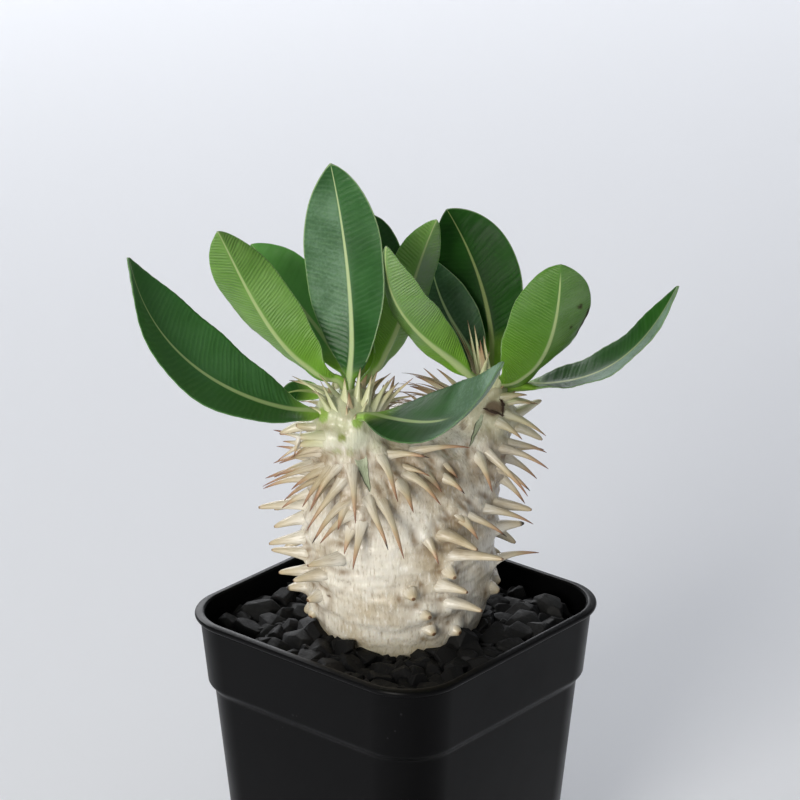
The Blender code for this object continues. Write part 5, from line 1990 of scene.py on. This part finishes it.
    def build(self, finishes: dict[LeafLook, bpy.types.Material]) -> bpy.types.Object:
        """Model the leaf: a fine grid bent to the blade, given its thickness, its stalk and its midrib.

        Args:
            finishes: the material of each look.

        Returns:
            The leaf.
        """
        deselect_all()
        bpy.ops.mesh.primitive_grid_add(x_subdivisions=self.steps_across, y_subdivisions=self.steps_along, size=2.0)
        leaf = take_new(self.name + "_blade")
        flat = get_points(leaf.data)
        start = self.foot()
        u = (flat[:, 1] + 1) / 2
        t = start + (1 - start) * (0.35 * u + 0.65 * (1 - np.cos(math.pi * u)) / 2)
        v = np.sin(flat[:, 0] * math.pi / 2) * 0.35 + flat[:, 0] * 0.65
        points, _ = self.surface(t, v)
        half = self.half_width(t)
        stalk = self.stalk_share(t)
        length = self.length()
        set_attribute(leaf.data, "along_mm", t * length)
        set_attribute(leaf.data, "across_mm", v * half)
        to_tip = (1 - t) * length
        set_attribute(leaf.data, "margin_mm", np.where(stalk > 0.6, 9.0, np.minimum((1 - np.abs(v)) * half, to_tip)))
        set_attribute(leaf.data, "length_mm", np.full(len(t), length))
        # Each leaf's brightness paints in part the light or shade on it, and rises towards the tip.
        set_attribute(leaf.data, "tone_and_painted_light", self.tone_and_painted_light + 0.35 * (t - 0.5))
        set_attribute(leaf.data, "seed", np.full(len(t), 10.0 * self.widest + self.width))
        from_v, to_v, from_t, to_t, strength = self.bloom_and_sheen
        inside = smoothstep(from_v - 0.12, from_v + 0.12, v) * smoothstep(to_v + 0.12, to_v - 0.12, v)
        inside = inside * smoothstep(from_t - 0.1, from_t + 0.1, t) * smoothstep(to_t + 0.1, to_t - 0.1, t)
        set_attribute(leaf.data, "bloom_and_sheen", strength * inside)
        left, right = self.veins
        set_attribute(leaf.data, "rib", smoothstep(self.rib_until + 0.06, self.rib_until - 0.06, t))
        set_attribute(leaf.data, "veins", left + (right - left) * smoothstep(-0.06, 0.06, v))
        cork = np.zeros(len(t))
        for at_t, at_v, long, wide in self.cork:
            away = np.hypot((t - at_t) * length / long, (v - at_v) * half / wide)
            cork = np.maximum(cork, smoothstep(1.2, 0.8, away))
        set_attribute(leaf.data, "cork", cork)
        set_points(leaf.data, points * MM)
        edge = 0.45 + 0.55 * smoothstep(0.0, 0.25, 1 - np.abs(v))
        depth = self.thickness * edge * (1 + 0.35 * (1 - np.abs(v)) * (1 - t))
        rounded = self.stalk_thickness * np.sqrt(np.maximum(1 - 0.93 * v * v, 0.02))
        depth = depth * (1 - stalk) + rounded * stalk
        group = leaf.vertex_groups.new(name="depth")
        for index, share in enumerate(depth / self.stalk_thickness):
            group.add([index], float(share), "REPLACE")
        skin = leaf.modifiers.new("flesh", "SOLIDIFY")
        skin.thickness, skin.offset, skin.vertex_group = self.stalk_thickness * MM, 0.0, "depth"
        skin.use_rim, skin.material_offset, skin.material_offset_rim = True, 1, 0
        leaf.data.materials.append(finishes[self.upper])
        leaf.data.materials.append(finishes[self.under])
        if leaf.data.polygons[len(leaf.data.polygons) // 2].normal @ Vector(self.facing()) < 0:
            leaf.data.flip_normals()
        apply_all(leaf)
        self.raise_midrib(leaf.data, len(flat), t, v * half)
        leaf.vertex_groups.clear()
        set_points(leaf.data, plant_place(get_points(leaf.data) / MM))
        leaf.data.shade_smooth()
        return present(leaf, "leaf", self.name)

    def facing(self) -> Points:
        """The way the upper face looks half-way along."""
        return self.surface(np.array([0.5]), np.array([0.0]))[1][0]

    def raise_midrib(self, mesh: bpy.types.Mesh, count: int, t: Points, across: Points) -> None:
        """Swell the midrib: a keel under the blade, and a low round rib above it.

        Args:
            mesh: the leaf's mesh, which Solidify has doubled.
            count: how many points each side has.
            t: how far along each point of one side is.
            across: how far across it is, in millimetres.
        """
        points = get_points(mesh)
        upper, under = points[:count], points[count : 2 * count]
        _, normal = self.surface(t, np.zeros(len(t)))
        taper = np.clip(1.15 - t, 0, 1) * (1 - self.stalk_share(t) * 0.6)
        keel = np.exp(-((across / 0.95) ** 2)) * taper
        sign = 1 if ((upper - under) * normal).sum() > 0 else -1
        points[:count] += normal * (sign * keel * 0.16 * MM)[:, None]
        points[count : 2 * count] -= normal * (sign * keel * 0.55 * MM)[:, None]
        set_points(mesh, points)


LEAVES: tuple[Leaf, ...] = (
    Leaf("leaf_left_low", ((-20, -14, 153), (-37, -22, 159.5), (-57.5, -26, 174.5), (-70.5, -24, 201)),
         26, (0, -0.25, 0.97), (0.93, -0.27, -0.27), 0.21, 0.10, 0.66,
         LeafLook.DARK, LeafLook.DULL, 0.62, (-1, 1, 0.15, 0.9, 0.15), (0.8, 0.8)),
    Leaf("leaf_left_pale", ((-16, -10, 161.5), (-29, -10, 170), (-39, -11, 186), (-47.5, -13, 204.5)),
         19, (0.68, 0.62, 0.4), (0.15, 0.46, -0.88), 0.35, 0.15, 0.52,
         LeafLook.MID, LeafLook.PALE, 0.38, (-1, 1, 0, 1, 0.1), fullness=0.8, corrugation=0.06),
    Leaf("leaf_left_rear", ((-13.5, -4, 160), (-20.5, 4, 169), (-30, 12, 179), (-40, 18, 190.5)),
         19.5, (0.42, -0.81, 0.41), (0.29, -0.91, 0.29), 0.15, 0.10, 0.60,
         LeafLook.MID, LeafLook.DULL, 0.65, (-1, 1, 0, 1, 0.1), (0.5, 0.5)),
    Leaf("leaf_left_tall", ((-12.5, -9, 159.5), (-12, -6, 177.5), (-14, -3, 199), (-17.5, -4, 220.5)),
         22.5, (-0.54, -0.84, 0.01), (-0.03, -0.88, 0.47), 0.21, 0.07, 0.54,
         LeafLook.SHEEN, LeafLook.DULL, 0.2, (-1, 0, 0.25, 0.9, 1.0), (1.0, 0.4)),
    Leaf("leaf_left_front", ((-9, -20, 154.5), (2, -34, 158.5), (15.5, -46, 164.5), (27.5, -54, 183)),
         25.5, (0, 0.02, 1), (-0.98, 0.17, 0.14), 0.18, 0.08, 0.55,
         LeafLook.DARK, LeafLook.DULL, 0.2, (-1, 1, 0.62, 1.1, 1.5), (0.25, 0.25), fullness=1.3, rib_until=0.6, waviness=0.12),
    Leaf("leaf_left_back", ((-9.5, 2, 157), (-8, 10.5, 169), (-6, 17.5, 183.5), (-6.5, 21, 198)),
         19, (-0.11, -0.86, 0.5), (-0.39, -0.9, 0.2), 0.15, 0.10, 0.60,
         LeafLook.DEEP, LeafLook.DULL, 0.0, (-1, 1, 0, 1, 0.1), (0.4, 0.4)),
    Leaf("leaf_left_inner", ((-7.5, -3.5, 160), (-0.5, 4.5, 169.5), (5, 11, 183.5), (11, 14, 199)),
         15.5, (-0.46, 0.82, 0.34), (-0.33, 0.92, -0.2), 0.28, 0.08, 0.54,
         LeafLook.MID, LeafLook.PALE, 0.6, (-1, 0, 0, 1, 2.2), (0.5, 1.0), corrugation=0.05),
    Leaf("leaf_left_small", ((-18.5, -4, 155), (-22.5, 0, 153.8), (-27, 4, 152.6), (-32.5, 8, 149.2)),
         6, (-0.1, -0.95, 0.4), (-0.3, -0.95, 0.4), 0.30, 0.10, 0.55,
         LeafLook.DEEP, LeafLook.DULL, 0.0, (-1, 1, 0, 1, 0.0), waviness=0.1, steps_along=64, steps_across=16),
    Leaf("leaf_right_inner", ((21, 4, 156.5), (11, -1, 167), (1, -6, 180.5), (-2.5, -9, 199)),
         16, (0.35, 0.82, -0.45), (0.61, 0.73, 0.3), 0.51, 0.11, 0.57,
         LeafLook.MID, LeafLook.PALE, 0.4, (-1, 1, 0.5, 1.1, 0.9), corrugation=0.05),
    Leaf("leaf_right_back", ((26.5, 15, 153), (26, 21, 167.5), (21.5, 26, 182.5), (14, 29, 197)),
         24, (-0.39, -0.88, 0.25), (0.01, -0.91, 0.41), 0.11, 0.10, 0.57,
         LeafLook.DEEP, LeafLook.DULL, 0.0, (-1, 1, 0, 1, 0.0), (0.45, 0.45)),
    Leaf("leaf_right_pale", ((28, 6, 154.5), (39, 2, 162), (43.5, -1, 177), (44.5, -2, 191.5)),
         25, (-0.81, 0.55, 0.2), (0.03, 0.98, 0.19), 0.22, 0.15, 0.45,
         LeafLook.MID, LeafLook.PALE, 0.0, (-1, 0, 0, 1, 0.9), (0.5, 0.85), fullness=0.64, corrugation=0.06,
         rib_until=0.9, cork=((0.56, -0.97, 5.0, 0.75), (0.69, -0.66, 0.95, 0.6), (0.56, -0.5, 0.8, 0.5))),
    Leaf("leaf_right_long", ((33, 9.5, 151.5), (47, 10.5, 152.5), (62.5, 9, 160), (77, 6, 182.5)),
         17, (0.03, 0.11, 0.99), (-0.33, -0.3, 0.9), 0.2, 0.06, 0.50,
         LeafLook.DEEP, LeafLook.DULL, 0.2, (0, 1, 0.45, 1.1, 1.1), (0.5, 0.5)),
    Leaf("leaf_right_dark", ((24, 11, 155), (18.5, 15, 163.5), (13, 19.5, 172.5), (9.5, 22, 185)),
         16, (0.2, -0.8, 0.55), (0.1, -0.9, 0.35), 0.20, 0.10, 0.55,
         LeafLook.SHEEN, LeafLook.DULL, 0.0, (-1, 1, 0.3, 1, 0.4), (0.5, 0.5)),
)


# The studio


@dataclass
class Studio:
    """A pale paper sweep, soft light, and the camera at the photograph's angle."""

    paper: StudioPaper = field(default_factory=StudioPaper)
    floor_size: float = 6.0
    camera_place: tuple[float, float, float] = (0.56402, -0.66347, 0.49105)
    camera_tilt: float = 68.6932
    camera_turn: float = 40.3
    lens: float = 153.0

    def build(self) -> None:
        """Lay the paper, hang the lights and set the camera."""
        self.lay_paper()
        self.light("key", (-0.75, -1.4, 0.55), (0.0, 0.0, 0.12), (0.7, 0.7), 20.5, "#fffbf4")
        self.light("back", (-0.80, 2.40, 1.50), (-0.4, 1.5, 0.0), (1.8, 1.0), 54.0, "#fbfcff")
        self.sky("#f3f5f8", 0.3)
        self.camera()
        bpy.context.scene.view_settings.view_transform = "Standard"

    def lay_paper(self) -> None:
        """Lay the floor, and bend its far side up behind the plant."""
        deselect_all()
        bpy.ops.mesh.primitive_plane_add(size=self.floor_size, location=(0, 0, -0.0002))
        paper = take_new("studio_sweep")
        bpy.ops.object.mode_set(mode="EDIT")
        bpy.ops.mesh.select_all(action="DESELECT")
        edit = bmesh.from_edit_mesh(paper.data)
        for edge in edit.edges:
            edge.select = all(vert.co.y > 0 for vert in edge.verts)
        bmesh.update_edit_mesh(paper.data)
        bpy.ops.mesh.extrude_region_move(TRANSFORM_OT_translate={"value": (0, 0, 3.0)})
        bpy.ops.object.mode_set(mode="OBJECT")
        curve = paper.modifiers.new("curve", "BEVEL")
        curve.width, curve.segments, curve.limit_method = 1.2, 24, "ANGLE"
        apply_all(paper)
        turn = math.radians(self.camera_turn)
        paper.rotation_euler.z = turn
        settle(paper, 60.0)
        paper.data.materials.append(self.paper.material())

    def light(self, name: str, place: tuple, target: tuple, size: tuple, power: float, colour: str) -> None:
        """Hang one soft box, placed in the camera's turned frame.

        Args:
            name: its name.
            place: where it hangs, with -Y towards the camera.
            target: where it looks.
            size: its width and height in metres.
            power: its power in watts.
            colour: its colour as sRGB hex.
        """
        data = bpy.data.lights.new(name, "AREA")
        data.shape, data.size, data.size_y, data.energy = "RECTANGLE", size[0], size[1], power
        data.color = linear(colour)[:3]
        lamp = bpy.data.objects.new(name, data)
        bpy.context.scene.collection.objects.link(lamp)
        turn = Matrix.Rotation(math.radians(self.camera_turn), 3, "Z")
        lamp.location = turn @ Vector(place)
        lamp.rotation_euler = (turn @ (Vector(target) - Vector(place))).to_track_quat("-Z", "Y").to_euler()

    def sky(self, colour: str, strength: float) -> None:
        """Fill the room with even light.

        Args:
            colour: its colour as sRGB hex.
            strength: how strong it is.
        """
        world = bpy.data.worlds.new("studio_air")
        world.use_nodes = True
        background = world.node_tree.nodes["Background"]
        background.inputs["Color"].default_value = linear(colour)
        background.inputs["Strength"].default_value = strength
        bpy.context.scene.world = world

    def camera(self) -> None:
        """Set the camera: a long lens that looks down on a corner of the pot."""
        data = bpy.data.cameras.new("camera")
        data.lens, data.sensor_width, data.clip_end = self.lens, 36.0, 50.0
        camera = bpy.data.objects.new("camera", data)
        bpy.context.scene.collection.objects.link(camera)
        camera.location = self.camera_place
        camera.rotation_euler = (math.radians(self.camera_tilt), 0.0, math.radians(self.camera_turn))
        bpy.context.scene.camera = camera


def search_tree(*names: str) -> BVHTree:
    """Make one search tree of CAD nodes.

    Args:
        names: the nodes.

    Returns:
        The tree.
    """
    points, faces, total = [], [], 0
    for name in names:
        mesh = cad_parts[name].data
        points.append(get_points(mesh))
        faces += [tuple(index + total for index in face.vertices) for face in mesh.polygons]
        total += len(mesh.vertices)
    return BVHTree.FromPolygons(np.concatenate(points).tolist(), faces)


def main() -> None:
    """Dress the whole object and set the studio."""
    logging.basicConfig(level=logging.INFO, format="%(message)s")
    pot = SquarePot()
    pot.build()
    Filling().dress(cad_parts["potting_mix"])
    GravelDressing(pot).build()
    finishes = {look: look.value.material() for look in LeafLook}
    for leaf in LEAVES:
        leaf.build(finishes)
    Caudex().build([search_tree(*(leaf.name for leaf in LEAVES)), search_tree("gravel", "pot")])
    Studio().build()


if __name__ == "__main__":
    main()
